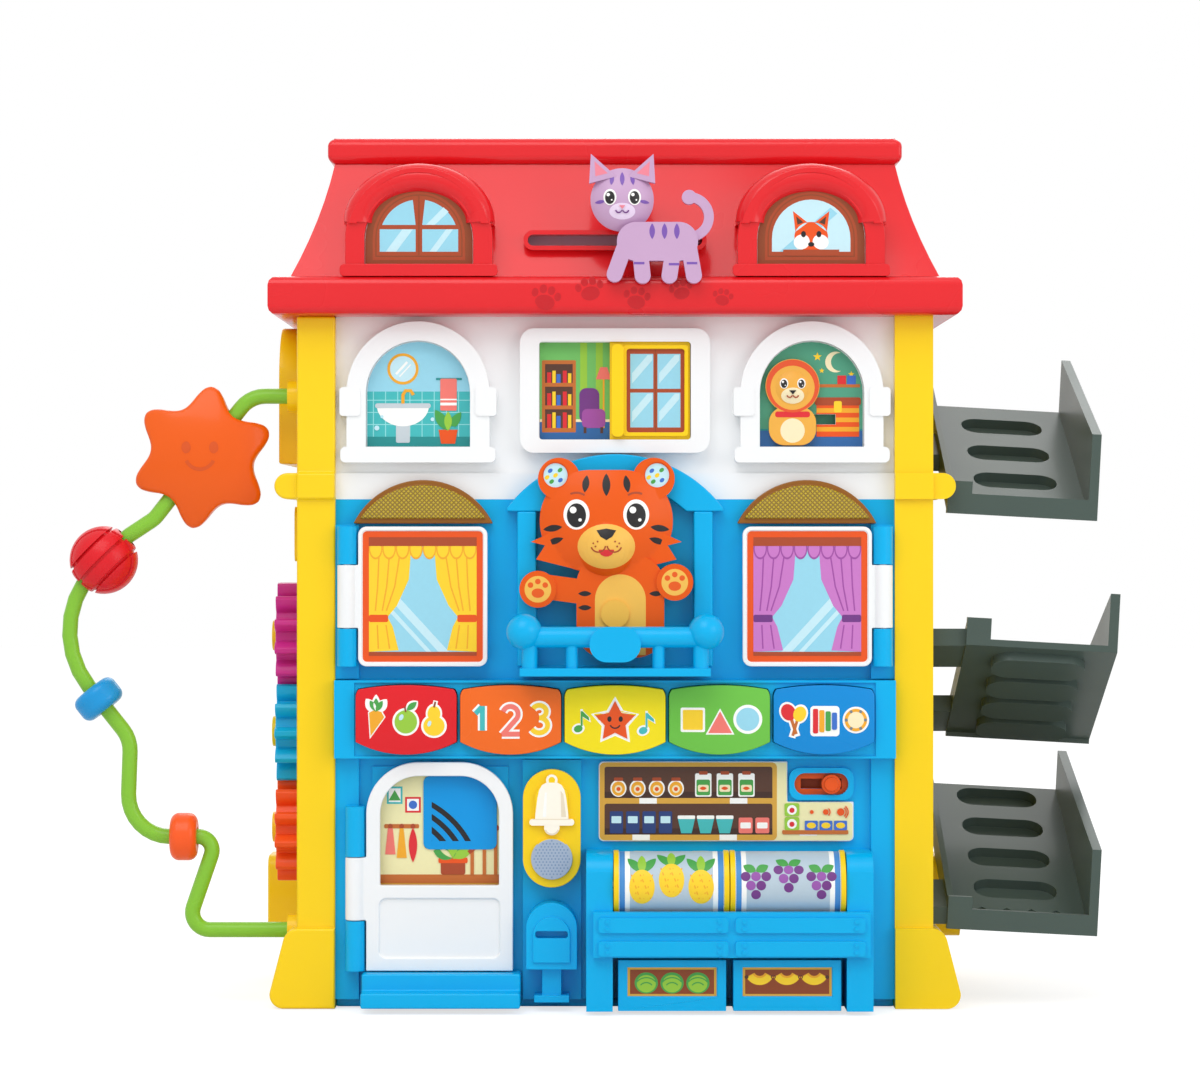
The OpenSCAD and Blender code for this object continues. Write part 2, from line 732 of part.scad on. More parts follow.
arch_top_z = mid_z0 - 2 * clear;
arch_foot_z = belt_z - 7;
band_r = balcony_w / 2 + 21.5;
band_w = 17;
balcony_t = 10;
module balcony_arch() color(blue) facing(front_y, balcony_t) intersection() {
    translate([0, arch_top_z - band_r]) difference() {
        circle(band_r);
        circle(band_r - band_w);
    }
    translate([-balcony_w / 2 - 6, arch_foot_z]) square([balcony_w + 12, band_r]);
}

slab_z = win_z + 3;
slab_t = 4.5;
module balcony_posts() color(blue) for (s = [-1, 1]) {
    x = s * (balcony_w / 2 - balcony_post_w / 2);
    translate([x, front_y - balcony_t / 2, slab_z + slab_t]) {
        translate([-balcony_post_w / 2, -balcony_t / 2, 0])
            cube([balcony_post_w, balcony_t, arch_foot_z - slab_z - slab_t]);
    }
}

rail_y = front_y - rail_out;
rail_z = win_z + 25;
rail_r = 6;
ball_x = balcony_w / 2 - 4.5;
ball_z = rail_z + 3;
rail_post_w = 9;
module balcony_rail() color(blue) {
    block([-balcony_w / 2 + 2, rail_y - 5, slab_z], [balcony_w / 2 - 2, front_y, slab_z + slab_t]);
    translate([-ball_x, rail_y, rail_z]) rotate([0, 90, 0]) cylinder(r = rail_r, h = 2 * ball_x);
    for (s = [-1, 1]) {
        translate([s * ball_x, rail_y, ball_z]) sphere(ball_r);
        translate([s * (ball_x - 3), rail_y, slab_z + 1]) cylinder(d = rail_post_w, h = rail_z - slab_z - 1);
        translate([s * 24.5, rail_y, slab_z + 1]) cylinder(d = rail_post_w - 2, h = rail_z - slab_z - 1);
    }
    facing(rail_y, rail_r + 1.5) translate([0, rail_z - 4]) rounded(29, 20, 9.9);
}

pin_end = 1;
module hinge_pins() color(steel) {
    for (s = [-1, 1])
        translate([s * shutter_hinge_x, hinge_y, shutter_z + pin_end])
            cylinder(r = hinge_pin_r, h = shutter_h - 2 * pin_end);
    translate([door_hinge_x, hinge_y, door_tab_z - door_barrel_h + pin_end])
        cylinder(r = hinge_pin_r, h = door_tab_h + 2 * door_barrel_h - 2 * pin_end);
    peg(0, inner_y, tiger_z, tiger_pin_r, inner_y - tiger_back_y + 7);
}

key_foot_r = 62;
key_head_r = 150;
// Key outline: nearly flat head, strongly rounded foot, grown by a clearance
module key_outline(grow) intersection() {
    rounded(key_w + 2 * grow, key_h + 2 * grow, 7);
    translate([0, key_foot_r - key_h / 2]) circle(key_foot_r + grow, $fn = fine);
    translate([0, key_h / 2 - key_head_r]) circle(key_head_r + grow, $fn = fine);
}

bar_lip = 1.5;
module key_bar() color(blue) difference() {
    facing(front_y, bar_out) translate([0, key_z]) square([house_w, key_bar_h - clear], center = true);
    for (i = [0 : key_n - 1])
        facing(front_y + 1, bar_out + 2) translate([key_x(i), key_z]) key_outline(clear);
    facing(front_y - bar_out + bar_lip, bar_lip + 1) translate([0, key_z])
        square([house_w - 2 * pilaster_w + 4, key_bar_h - 3], center = true);
}

key_crown_r = 150;
module key(i, tint) color(tint) {
    intersection() {
        facing(key_back_y, key_back_y - key_front_y) translate([key_x(i), key_z]) key_outline(0);
        translate([key_x(i), key_front_y + key_crown_r, key_z]) sphere(key_crown_r, $fn = fine);
    }
    peg(key_x(i), board_y - press - 0.3, key_z, stem_r, board_y - press - 0.3 - key_back_y + 1);
}
module key_1() key(0, red);
module key_2() key(1, orange);
module key_3() key(2, [0.97, 0.89, 0.08]);
module key_4() key(3, [0.35, 0.75, 0.27]);
module key_5() key(4, [0.08, 0.43, 0.78]);

bell_t = 7;
bell_back_y = front_y - column_out - bell_gap;
module bell_key() color(yellow) {
    w = column_w - 0.5;
    z = (bell_z0 + bell_z1) / 2;
    facing(bell_back_y, bell_t) translate([bell_x, z]) rounded(w, bell_z1 - bell_z0, w / 2 - 0.1);
    peg(bell_x, bell_back_y - bell_t + 1, bell_z0 + w / 2, 11.8, 3);
    facing(bell_back_y - bell_t + 1, 3.5) translate([bell_x, bell_z1 - 32]) {
        translate([-13, 0]) square([26, 4]);
        translate([0, 3]) arch(19, 22);
        translate([0, 26]) circle(3.4);
        translate([0, -1]) circle(4.5);
    }
    for (zs = [bell_z0 + 14, bell_z1 - 14])
        peg(bell_x, board_y - bell_gap, zs, stem_r, board_y - bell_gap - bell_back_y + 1);
}

module volume_knob() color(orange) {
    x = volume_x + knob_rest;
    peg(x, front_y - clear, volume_z, knob_r - clear, 6.5);
    peg(x, front_y - 6, volume_z, knob_r - 2, 2.5);
    block([x - knob_stem / 2, front_y - 1, volume_z - knob_stem / 2],
        [x + knob_stem / 2, board_y - clear, volume_z + knob_stem / 2]);
}

module circuit_boards() color(green) {
    facing(board_y + board_t, board_t) {
        translate([0, key_z]) square([house_w - 2 * key_side, 32], center = true);
        translate([bell_x - 12, bell_z0 + 6]) square([volume_x - bell_x + 32, bell_z1 - bell_z0 - 6]);
        for (s = [-1, 1]) translate([s * lens_x, light_z]) square([50, 11], center = true);
    }
    for (s = [-1, 1]) peg(s * lens_x, board_y, light_z, light_r / 2, 8);
}

speaker_t = 12;
module speaker() color(grey) {
    peg(grille_x, inner_y + 4, grille_z, speaker_r, 4);
    peg(grille_x, inner_y + speaker_t, grille_z, speaker_r * 0.7, speaker_t - 3);
}

grille_t = 1.5;
grille_slots = 5;
module speaker_grille() color(blue)
    facing(front_y - door_pad_out, grille_t) translate([grille_x, grille_z]) difference() {
    rounded(grille_w - 2 * clear, grille_w - 2 * clear, 4);
    for (k = [0 : grille_slots - 1])
        translate([-grille_w, -grille_w]) intersection() {
            difference() {
                circle(32 + k * 6);
                circle(29 + k * 6);
            }
            translate([grille_w * 0.62, grille_w * 0.62]) square(grille_w * 0.76);
        }
}

letterbox_w = 29;
letterbox_z = 24;
letterbox_h = bell_z0 - letterbox_z - 8;
letterbox_t = 18;
module letterbox() color(blue) difference() {
    union() {
        facing(front_y - column_out, letterbox_t) translate([bell_x, letterbox_z])
            arch(letterbox_w, letterbox_h);
        facing(front_y - column_out, letterbox_t - 5) translate([bell_x - 5.5, base_t])
            square([11, letterbox_z - base_t + 1]);
        facing(front_y - column_out, letterbox_t - 2) translate([bell_x - 10, base_t]) square([20, 4]);
        facing(front_y - column_out - letterbox_t + 1, 2.5) translate([bell_x, letterbox_z + 4])
            arch(letterbox_w - 8, letterbox_h - 12);
    }
    facing(front_y - column_out - letterbox_t + 6, 10) translate([bell_x, letterbox_z + 20])
        rounded(18.5, 4, 1.5);
}

doorstep_out = 34;
tread_in = 12;
module doorstep() color(blue) {
    top = door_z - 0.6;
    x0 = door_x0 - 2;
    x1 = column_x - 1;
    block([x0, front_y - doorstep_out, 3], [x1, front_y, top / 2 + 1]);
    block([x0, front_y - doorstep_out + tread_in, top / 2], [x1, front_y, top]);
}

module shelf_panel() color(blue) facing(front_y, shelf_t) difference() {
    translate([(stall_x0 + stall_x1) / 2 - 1, (shelf_z0 + shelf_z1) / 2])
        rounded(stall_x1 - stall_x0 - 16, shelf_z1 - shelf_z0, 3);
    translate([volume_x - volume_w / 2 - 4, volume_z - volume_h / 2 - 4]) square([volume_w + 60, 60]);
}

axle_end = 5;
module stall_cheeks() color(blue) difference() {
    for (x = [stall_x0, stall_x1 - cheek_t]) across(x, cheek_t) difference() {
        union() {
            translate([stall_y, 2]) square([front_y - stall_y, stall_top - 12]);
            translate([stall_y + 12, 2]) square([front_y - stall_y - 12, stall_top - 2]);
            translate([stall_y + 12, stall_top - 12]) circle(12);
        }
    }
    translate([stall_x0 + axle_end, roller_y, roller_z]) rotate([0, 90, 0])
        cylinder(r = axle_r + fit, h = stall_x1 - stall_x0 - 2 * axle_end);
}

slat_h = 8.5;
slat_out = 2;
module crate_front() color(blue) {
    x0 = stall_x0 + 4;
    x1 = stall_x1 - 2;
    w = (x1 - x0 - box_gap) / 2 - 3;
    facing(stall_y, crate_t) translate([x0, crate_z0]) square([x1 - x0, crate_z1 - crate_z0]);
    for (s = [-1, 1], z = [crate_z0 + slat_h / 2 + 1, crate_z1 - slat_h / 2 - 3]) {
        x = (x0 + x1) / 2 + s * (w + box_gap) / 2;
        facing(stall_y - crate_t + 1, slat_out + 1) translate([x, z]) rounded(w, slat_h, 2);
        for (k = [-1, 1], d = [-2, 2])
            peg(x + k * (w / 2 - 5), stall_y - crate_t - slat_out + 1, z + d, 1.2, 1.8);
    }
}

box_h = 29;
box_z = 2;
module produce_boxes() color(blue) {
    x0 = stall_x0 + cheek_t + 3;
    w = (stall_x1 - stall_x0 - 2 * cheek_t - 6 - box_gap) / 2;
    for (k = [0, 1]) translate([x0 + k * (w + box_gap), 0, box_z]) difference() {
        block([0, stall_y + 3, 0], [w, front_y, box_h]);
        block([3, stall_y + 6, 3], [w - 3, front_y - 3, box_h + 1]);
        block([5, stall_y + 2, 8], [w - 5, stall_y + 4, box_h - 4]);
    }
}

module roller_axle() color(steel)
    translate([stall_x0 + axle_end + clear, roller_y, roller_z]) rotate([0, 90, 0])
        cylinder(r = axle_r, h = stall_x1 - stall_x0 - 2 * axle_end - 2 * clear);

rim_w = 3;
rim_in = 0.8;
roller_wall = 2.5;
// A hollow picture drum with raised end rims and a bored hub
module roller(x) color(white) translate([x, roller_y, roller_z]) rotate([0, 90, 0]) difference() {
    union() {
        cylinder(r = roller_r - rim_in, h = roller_len);
        cylinder(r = roller_r, h = rim_w);
        translate([0, 0, roller_len - rim_w]) cylinder(r = roller_r, h = rim_w);
    }
    translate([0, 0, -1]) cylinder(r = axle_r + fit, h = roller_len + 2);
    translate([0, 0, rim_w]) difference() {
        cylinder(r = roller_r - rim_in - roller_wall, h = roller_len - 2 * rim_w);
        translate([0, 0, -1]) cylinder(r = axle_r + 3, h = roller_len);
    }
    for (a = [0 : 60 : 300]) rotate(a) translate([roller_r / 2 + 1, 0, -1])
        cylinder(r = 3, h = roller_len + 2);
}
module roller_left() roller(stall_x0 + cheek_t + roller_gap);
module roller_right() roller(stall_x0 + cheek_t + 2 * roller_gap + roller_len);

gear_base_r = gear_r * cos(gear_pressure);
gear_tip_r = gear_r + gear_addendum;
gear_root_r = gear_r - gear_dedendum;
flank_steps = 5;
function involute(r) = r <= gear_base_r ? 0
    : sqrt((r / gear_base_r) ^ 2 - 1) * 180 / PI - acos(gear_base_r / r);
tooth_half = 90 / teeth - gear_backlash / 2 / gear_r * 180 / PI;
function flank_angle(r) = tooth_half + involute(gear_r) - involute(r);
flank_rs = concat([gear_root_r], [for (k = [0 : flank_steps])
    gear_base_r + (gear_tip_r - gear_base_r) * k / flank_steps]);
function polar(r, a) = [r * cos(a), r * sin(a)];
module gear_outline() polygon([for (n = [0 : teeth - 1]) let (a = n * 360 / teeth)
    each concat([for (r = flank_rs) polar(r, a - flank_angle(r))],
        [for (k = [len(flank_rs) - 1 : -1 : 0]) polar(flank_rs[k], a + flank_angle(flank_rs[k]))])]);

dish = 3;
// One gear; a half-pitch turn meshes it with its neighbour
module gear(step, tint) color(tint) translate([0, gear_y, gear_z + step * 2 * gear_r]) difference() {
    across(gear_face_x - gear_t, gear_t) rotate(step == 0 ? 0 : 180 / teeth) gear_outline();
    translate([gear_face_x - gear_t - 1, 0, 0]) rotate([0, 90, 0]) difference() {
        cylinder(r = gear_root_r - 3, h = dish + 1);
        translate([0, 0, -1]) cylinder(r = gear_axle_r + 5, h = dish + 3);
    }
    translate([gear_face_x - gear_t - 1, 0, 0]) rotate([0, 90, 0]) {
        cylinder(r = gear_axle_r + fit, h = gear_t + 2);
        for (a = [0 : 72 : 288]) rotate(a) translate([(gear_root_r + gear_axle_r + 2) / 2, 0, 0])
            cylinder(r = 3, h = gear_t + 2);
    }
}
module gear_upper() gear(1, [0.73, 0.2, 0.55]);
module gear_middle() gear(0, [0.08, 0.59, 0.84]);
module gear_lower() gear(-1, [0.94, 0.31, 0.12]);

axle_head_t = 3;
module gear_axles() color(yellow)
    for (k = [-1, 0, 1]) translate([0, gear_y, gear_z + k * 2 * gear_r]) rotate([0, 90, 0]) {
        translate([0, 0, gear_face_x - gear_t - clear])
            cylinder(r = gear_axle_r, h = gear_t + gear_gap + clear + 6);
        translate([0, 0, gear_face_x - gear_t - clear - axle_head_t])
            cylinder(r = gear_axle_r + 5, h = axle_head_t);
        translate([0, 0, gear_face_x + clear]) cylinder(r = gear_axle_r + 3, h = gear_gap - clear);
    }

function wire_p(i) = [-wall_x - wire_route[i][0], wire_route[i][1]];
function unit(v) = v / norm(v);
function wire_dir(i) = unit(wire_p(i + 1) - wire_p(i));
function turn(i) = acos(wire_dir(i - 1) * wire_dir(i));
function is_bend(i) = i > 0 && i < len(wire_route) - 1;
function tangent(i) = is_bend(i) ? wire_route[i][2] * tan(turn(i) / 2) : 0;
function bend_side(i) = sign(wire_dir(i - 1)[0] * wire_dir(i)[1] - wire_dir(i - 1)[1] * wire_dir(i)[0]);
function bend_start(i) = wire_p(i) - wire_dir(i - 1) * tangent(i);
function bend_end(i) = wire_p(i) + wire_dir(i) * tangent(i);
function bend_centre(i) = bend_start(i)
    + bend_side(i) * wire_route[i][2] * [-wire_dir(i - 1)[1], wire_dir(i - 1)[0]];
function heading(v) = atan2(v[1], v[0]);

// Places children, drawn along X, on the wire's run i at a distance from its first corner
module on_wire(i, along) {
    p = wire_p(i) + wire_dir(i) * along;
    translate([p[0], wire_y, p[1]]) rotate([0, -heading(wire_dir(i)), 0]) children();
}
function run_length(i) = norm(wire_p(i + 1) - wire_p(i));

bend_step = 12;
wire_sides = 16;
last = len(wire_route) - 1;
function spun(v, a) = [v[0] * cos(a) - v[1] * sin(a), v[0] * sin(a) + v[1] * cos(a)];
// Points along one bend of the wire, each with the direction that the wire has there
function bend_points(i) = let (steps = ceil(turn(i) / bend_step)) [for (k = [0 : steps])
    let (a = bend_side(i) * turn(i) * k / steps)
    [bend_centre(i) + spun(bend_start(i) - bend_centre(i), a), heading(wire_dir(i - 1)) + a]];
wire_path = concat([[wire_p(0), heading(wire_dir(0))]], [for (i = [1 : last - 1]) each bend_points(i)],
    [[wire_p(last), heading(wire_dir(last - 1))]]);
module bead_wire() color([0.54, 0.78, 0.24]) polyhedron(
    [for (ring = wire_path, k = [0 : wire_sides - 1]) let (a = k * 360 / wire_sides)
        [ring[0][0] - sin(ring[1]) * wire_r * cos(a), wire_y + wire_r * sin(a),
            ring[0][1] + cos(ring[1]) * wire_r * cos(a)]],
    concat(
        [[for (k = [wire_sides - 1 : -1 : 0]) k]],
        [for (n = [0 : len(wire_path) - 2], k = [0 : wire_sides - 1]) let (m = (k + 1) % wire_sides)
            [n * wire_sides + k, n * wire_sides + m, (n + 1) * wire_sides + m, (n + 1) * wire_sides + k]],
        [[for (k = [0 : wire_sides - 1]) (len(wire_path) - 1) * wire_sides + k]]));

bead_clear = 0.35;
ball_bore = 2.3;
sun_rays = 6;
sun_points = 60;
sun_valley = 0.705;
sun_tip = 0.12;
sun_dome_r = 90;
sun_half_t = 13;
sun_swing = sun_r * (1 - sun_valley) / 2;
sun_mean_r = sun_r - sun_swing * (1 + sun_tip);
function sun_at_angle(a) = sun_mean_r + sun_swing * (cos(sun_rays * a) + sun_tip * cos(2 * sun_rays * a));
module sun_outline() rotate(180 / sun_rays)
    polygon([for (k = [0 : sun_points - 1]) let (a = k * 360 / sun_points)
        sun_at_angle(a) * [cos(a), sin(a)]]);
module sun() color([0.95, 0.41, 0.14]) on_wire(1, run_length(1) * sun_at) difference() {
    intersection() {
        facing(sun_half_t + 1, 2 * sun_half_t + 2) sun_outline();
        translate([0, sun_dome_r - sun_half_t, 0]) sphere(sun_dome_r, $fn = fine);
        translate([0, sun_half_t - sun_dome_r, 0]) sphere(sun_dome_r, $fn = fine);
    }
    rotate([0, 90, 0]) cylinder(r = wire_r + bead_clear, h = 3 * sun_r, center = true);
}

ball_grooves = [-9, 0, 9];
groove_w = 2;
groove_d = 1.6;
module toy_ball() color([0.89, 0.12, 0.16]) on_wire(3, toy_ball_at) difference() {
    sphere(toy_ball_r);
    rotate([0, 90, 0]) cylinder(r = wire_r + ball_bore, h = 3 * toy_ball_r, center = true);
    for (turned = [0, 90], k = ball_grooves) rotate([turned, 0, 0]) difference() {
        translate([-toy_ball_r - 1, -toy_ball_r - 1, k - groove_w / 2])
            cube([2 * toy_ball_r + 2, 2 * toy_ball_r + 2, groove_w]);
        sphere(toy_ball_r - groove_d);
    }
}

bead_round = 5;
module bead() rotate([0, 90, 0]) rotate_extrude() difference() {
    intersection() {
        rounded(2 * bead_r, bead_t, bead_round);
        translate([0, -bead_t]) square([bead_r + 1, 2 * bead_t]);
    }
    translate([-1, -bead_t]) square([wire_r + bead_clear + 1, 2 * bead_t]);
}
module blue_bead() color([0.12, 0.61, 0.86]) on_wire(4, run_length(4) * blue_bead_at) bead();
module orange_bead() color([0.97, 0.37, 0.14]) on_wire(6, run_length(6) * orange_bead_at) bead();

ramp_inner_h = 12;
ramp_floor_v = ramp_t / cos(ramp_tilt);
ramp_wall_t = ramp_t + 2;
ramp_lip_h = 8;
ramp_lip_t = 6;
ramp_post_w = 14;
ramp_post_h = 15;
ramp_droop = 3.4;
ramp_mid_out = 11;
bracket_len = 30;
bracket_end = 4;
bracket_top_y = 55;
trough_len = 0.56 * ramp_w;
trough_w = 22;
trough_d = 6;
trough_wall = 2.5;
trough_y = 39;
trough_mid_y = 22;
trough_pitch = 35;
trough_top_pitch = 38;
trough_mid_pitch = 30;
drain_n = 4;
drain_w = 5.5;
drain_y = 15;
ramp_top_wall_more = 2;
ramp_low_wall_less = 6;

// Places children on the sloping floor, at a distance along the run
module on_floor(x, y) translate([x, y, y * tan(ramp_tilt)]) rotate([ramp_tilt, 0, 0]) children();

// Side of a chute's wall, with its heights over the floor at the low and the high end
module chute_side(run, low_h, high_h) polygon([[0, -ramp_floor_v], [run, run * tan(ramp_tilt) - ramp_floor_v],
    [run, run * tan(ramp_tilt) + high_h], [0, low_h]]);

// Floor with pressed troughs, two walls and a lip; it runs up from its low end towards +Y
module tray(run, wall_h, troughs, first, pitch) {
    mid_x = ramp_x + ramp_w / 2;
    difference() {
        union() {
            across(ramp_x, ramp_w) chute_side(run, 0, 0);
            across(ramp_x + ramp_w - ramp_wall_t, ramp_wall_t) chute_side(run, ramp_end_h, wall_h);
            across(ramp_x, ramp_t) chute_side(run, ramp_inner_h, ramp_inner_h);
            block([ramp_x, 0, -ramp_floor_v], [ramp_x + ramp_w, ramp_lip_t, ramp_lip_h]);
            block([ramp_x, 0, -ramp_floor_v], [ramp_x + ramp_post_w, ramp_lip_t, ramp_post_h]);
            for (k = [0 : troughs - 1]) on_floor(mid_x, first + k * pitch)
                translate([0, 0, -trough_d - trough_wall]) linear_extrude(trough_d + trough_wall - ramp_t / 2)
                    rounded(trough_len + 2 * trough_wall, trough_w + 2 * trough_wall, trough_w / 2);
        }
        for (k = [0 : troughs - 1]) on_floor(mid_x, first + k * pitch)
            translate([0, 0, -trough_d]) linear_extrude(2 * trough_d)
                rounded(trough_len, trough_w, trough_w / 2 - 1);
        for (k = [1 : drain_n]) on_floor(ramp_x + ramp_w * (k + 0.5) / (drain_n + 2), drain_y)
            rotate(45) cube([drain_w, drain_w, 4 * ramp_t], center = true);
    }
}

// A tray that droops away from the house along its slope, on brackets that stand square on the wall
module chute(run, wall_h, troughs, first, pitch, brackets, out = 0) {
    translate([wall_x, 0, 0]) rotate([ramp_tilt, 0, 0]) rotate([0, ramp_droop, 0]) rotate([-ramp_tilt, 0, 0])
        translate([out - wall_x, 0, 0]) {
            tray(run, wall_h, troughs, first, pitch);
            children();
        }
    for (y = brackets)
        across(wall_x, ramp_gap + out + ramp_t / 2) polygon([for (c = [[0, -1], [1, -1], [1, 1], [0, 1]])
            let (along = y + c[0] * bracket_len)
            [along, along * tan(ramp_tilt) + (c[1] > 0 ? ramp_inner_h / 2 : -ramp_floor_v)]]);
}
function bracket_places(run) = [bracket_end, run - bracket_len - bracket_end];
module ramp_top() color(grey) translate([0, ramp_front_y, ramp_top_z])
    chute(ramp_top_run, ramp_wall_h + ramp_top_wall_more, 3, trough_y, trough_top_pitch, [bracket_top_y]);
module ramp_middle() color(grey) translate([0, ramp_front_y + ramp_mid_run, ramp_mid_z]) mirror([0, 1, 0])
    chute(ramp_mid_run, ramp_wall_h, 4, trough_mid_y, trough_mid_pitch,
        bracket_places(ramp_mid_run), ramp_mid_out)
        block([ramp_x, ramp_mid_run - ramp_lip_t, ramp_mid_run * tan(ramp_tilt) - ramp_floor_v],
            [ramp_x + ramp_post_w, ramp_mid_run, ramp_mid_run * tan(ramp_tilt) + ramp_inner_h]);
module ramp_lower() color(grey) translate([0, ramp_front_y, ramp_low_z])
    chute(ramp_low_run, ramp_wall_h - ramp_low_wall_less, 4, trough_y, trough_pitch,
        bracket_places(ramp_low_run));

module battery_box() color(grey) {
    y = -front_y - panel_t;
    difference() {
        facing(y, battery_depth) translate([0, battery_z + battery_h / 2])
            rounded(battery_w + 6, battery_h + 6, 4);
        facing(y + 1, battery_depth - 1) translate([0, battery_z + battery_h / 2])
            rounded(battery_w - 4, battery_h - 2, 4);
    }
}
module battery_door() color(blue) difference() {
    facing(-front_y, panel_t) translate([0, battery_z + battery_h / 2])
        rounded(battery_w - 2 * clear, battery_h - 2 * clear, 4);
    for (k = [-2 : 2])
        facing(-front_y + 1, 2) translate([k * 6, battery_z + battery_h - 12]) square([2, 10], center = true);
}
cell_n = 3;
module battery_cells() color([0.85, 0.6, 0.15])
    for (k = [0 : cell_n - 1])
        translate([-cell_len / 2, -front_y - panel_t - battery_depth + 2 + cell_r + 0.3,
            battery_z + battery_h * (k + 0.5) / cell_n]) rotate([0, 90, 0]) {
            cylinder(r = cell_r, h = cell_len - 2);
            cylinder(r = cell_r / 3, h = cell_len);
        }

shutter_panel_in = 2.2;
// Right-hand shutter: leaf, hinge tab and bored barrel
module shutter() color(white) difference() {
    union() {
        facing(hinge_y + leaf_t / 2, leaf_t) translate([lens_x, shutter_z + shutter_h / 2])
            rounded(shutter_x1 - shutter_x0, shutter_h, 5);
        translate([shutter_hinge_x, hinge_y, shutter_tab_z]) cylinder(r = barrel_r, h = shutter_tab_h);
        block([shutter_x1 - 2, hinge_y - leaf_t / 2, shutter_tab_z],
            [shutter_hinge_x, hinge_y + leaf_t / 2, shutter_tab_z + shutter_tab_h]);
    }
    translate([shutter_hinge_x, hinge_y, shutter_tab_z - 1])
        cylinder(r = hinge_pin_r + fit, h = shutter_tab_h + 2);
    facing(hinge_y - leaf_t / 2 + 1, 2) translate([lens_x, shutter_z + shutter_h / 2])
        rounded(shutter_x1 - shutter_x0 - 2 * shutter_panel_in, shutter_h - 2 * shutter_panel_in, 3);
}
module shutter_right() shutter();
module shutter_left() mirror([1, 0, 0]) shutter();

module round_shouldered(w, h, r) {
    square([w, h - r]);
    translate([r, 0]) square([w - 2 * r, h]);
    for (x = [r, w - r]) translate([x, h - r]) circle(r);
}
module door() color(white) difference() {
    union() {
        facing(hinge_y + leaf_t / 2, leaf_t) translate([door_x0, door_z])
            round_shouldered(door_w, door_h, door_corner);
        translate([door_hinge_x, hinge_y, door_tab_z]) cylinder(r = barrel_r, h = door_tab_h);
        block([door_hinge_x, hinge_y - leaf_t / 2, door_tab_z],
            [door_x0 + 2, hinge_y + leaf_t / 2, door_tab_z + door_tab_h]);
    }
    translate([door_hinge_x, hinge_y, door_tab_z - 1]) cylinder(r = hinge_pin_r + fit, h = door_tab_h + 2);
    facing(hinge_y + leaf_t, 2 * leaf_t) translate([door_x0 + door_rail, door_window_z])
        round_shouldered(door_w - 2 * door_rail, door_z + door_h - door_rail - door_window_z,
            door_corner - door_rail);
    facing(hinge_y - leaf_t / 2 + 1.5, 3)
        translate([door_x0 + door_w / 2, (door_z + door_window_z) / 2])
            rounded(door_w - 2 * door_rail + 1, door_window_z - door_z - 2 * door_rail + 1, 4);
}

tiger_t = 9;
head_t = 14;
head_dome_r = 75;
head_w = 76;
head_h = 58;
tiger_head = [-5, tiger_z + 53];
ear_r = 12;
ear_at = [27, 24];
ear_in_r = 7.5;
ear_in_d = 1.2;
tuft = [[26, -4], [43, -12], [35, -14], [40, -22], [20, -27]];
muzzle_r = 22;
muzzle_out = 3.5;
muzzle_down = 13;
chest_t = 7.5;
chest_w = 50;
chest_h = 58;
chest_corner = 16;
paw_r = 10.5;
paws = [[-44, 14], [34, 18]];
arm_w = 14;
// Relief of a tiger cub that leans over the rail, rocking on a pin through its chest
module tiger() color([0.96, 0.45, 0.1]) difference() {
    union() {
        intersection() {
            facing(tiger_back_y, head_t) translate(tiger_head) rounded(head_w, head_h, head_h / 2 - 0.5);
            translate([tiger_head[0], tiger_back_y - head_t + head_dome_r, tiger_head[1]])
                sphere(head_dome_r, $fn = fine);
        }
        intersection() {
            facing(tiger_back_y, head_t + muzzle_out) translate(tiger_head - [0, muzzle_down])
                circle(muzzle_r - 1);
            translate([tiger_head[0], tiger_back_y - head_t - muzzle_out + muzzle_r,
                tiger_head[1] - muzzle_down])
                sphere(muzzle_r);
        }
        facing(tiger_back_y, tiger_t - 3) translate(tiger_head) for (s = [-1, 1]) {
            translate([s * ear_at[0], ear_at[1]]) circle(ear_r);
            polygon([for (p = tuft) [s * p[0], p[1]]]);
        }
        facing(tiger_back_y, chest_t) {
            translate([3, tiger_z + 4]) rounded(chest_w, chest_h, chest_corner);
            for (p = paws) translate([p[0] / 2, tiger_z + p[1] / 2 + 6]) rotate(atan2(p[1] - 8, p[0]))
                square([abs(p[0]), arm_w], center = true);
        }
        facing(tiger_back_y, tiger_t) for (p = paws) translate([p[0], tiger_z + p[1]]) circle(paw_r);
        peg(0, tiger_back_y, tiger_z, 8, tiger_t);
    }
    facing(tiger_back_y - tiger_t + 3 + ear_in_d, ear_in_d + 1) translate(tiger_head) for (s = [-1, 1])
        translate([s * (ear_at[0] + 2), ear_at[1] + 2]) circle(ear_in_r);
    peg(0, tiger_back_y + 1, tiger_z, tiger_pin_r + fit, 8);
}

cat_t = 10;
cat_back_y = -eave_y - 0.8;
cat_x = 18;
cat_foot_z = slope_z - 5;
cat_head = [cat_x - 14, cat_foot_z + 48];
cat_head_r = 18;
cat_dome_r = 24;
cat_leg_w = 9;
cat_leg_h = 24;
// Each leg: how far it stands from the middle of the body, and its swing
cat_legs = [[-13, -20], [-4, 6], [15, -8], [24, 10]];
tail_r = 14;
tail_w = 5.5;
cat_tail = [cat_x + 24, cat_foot_z + 38];
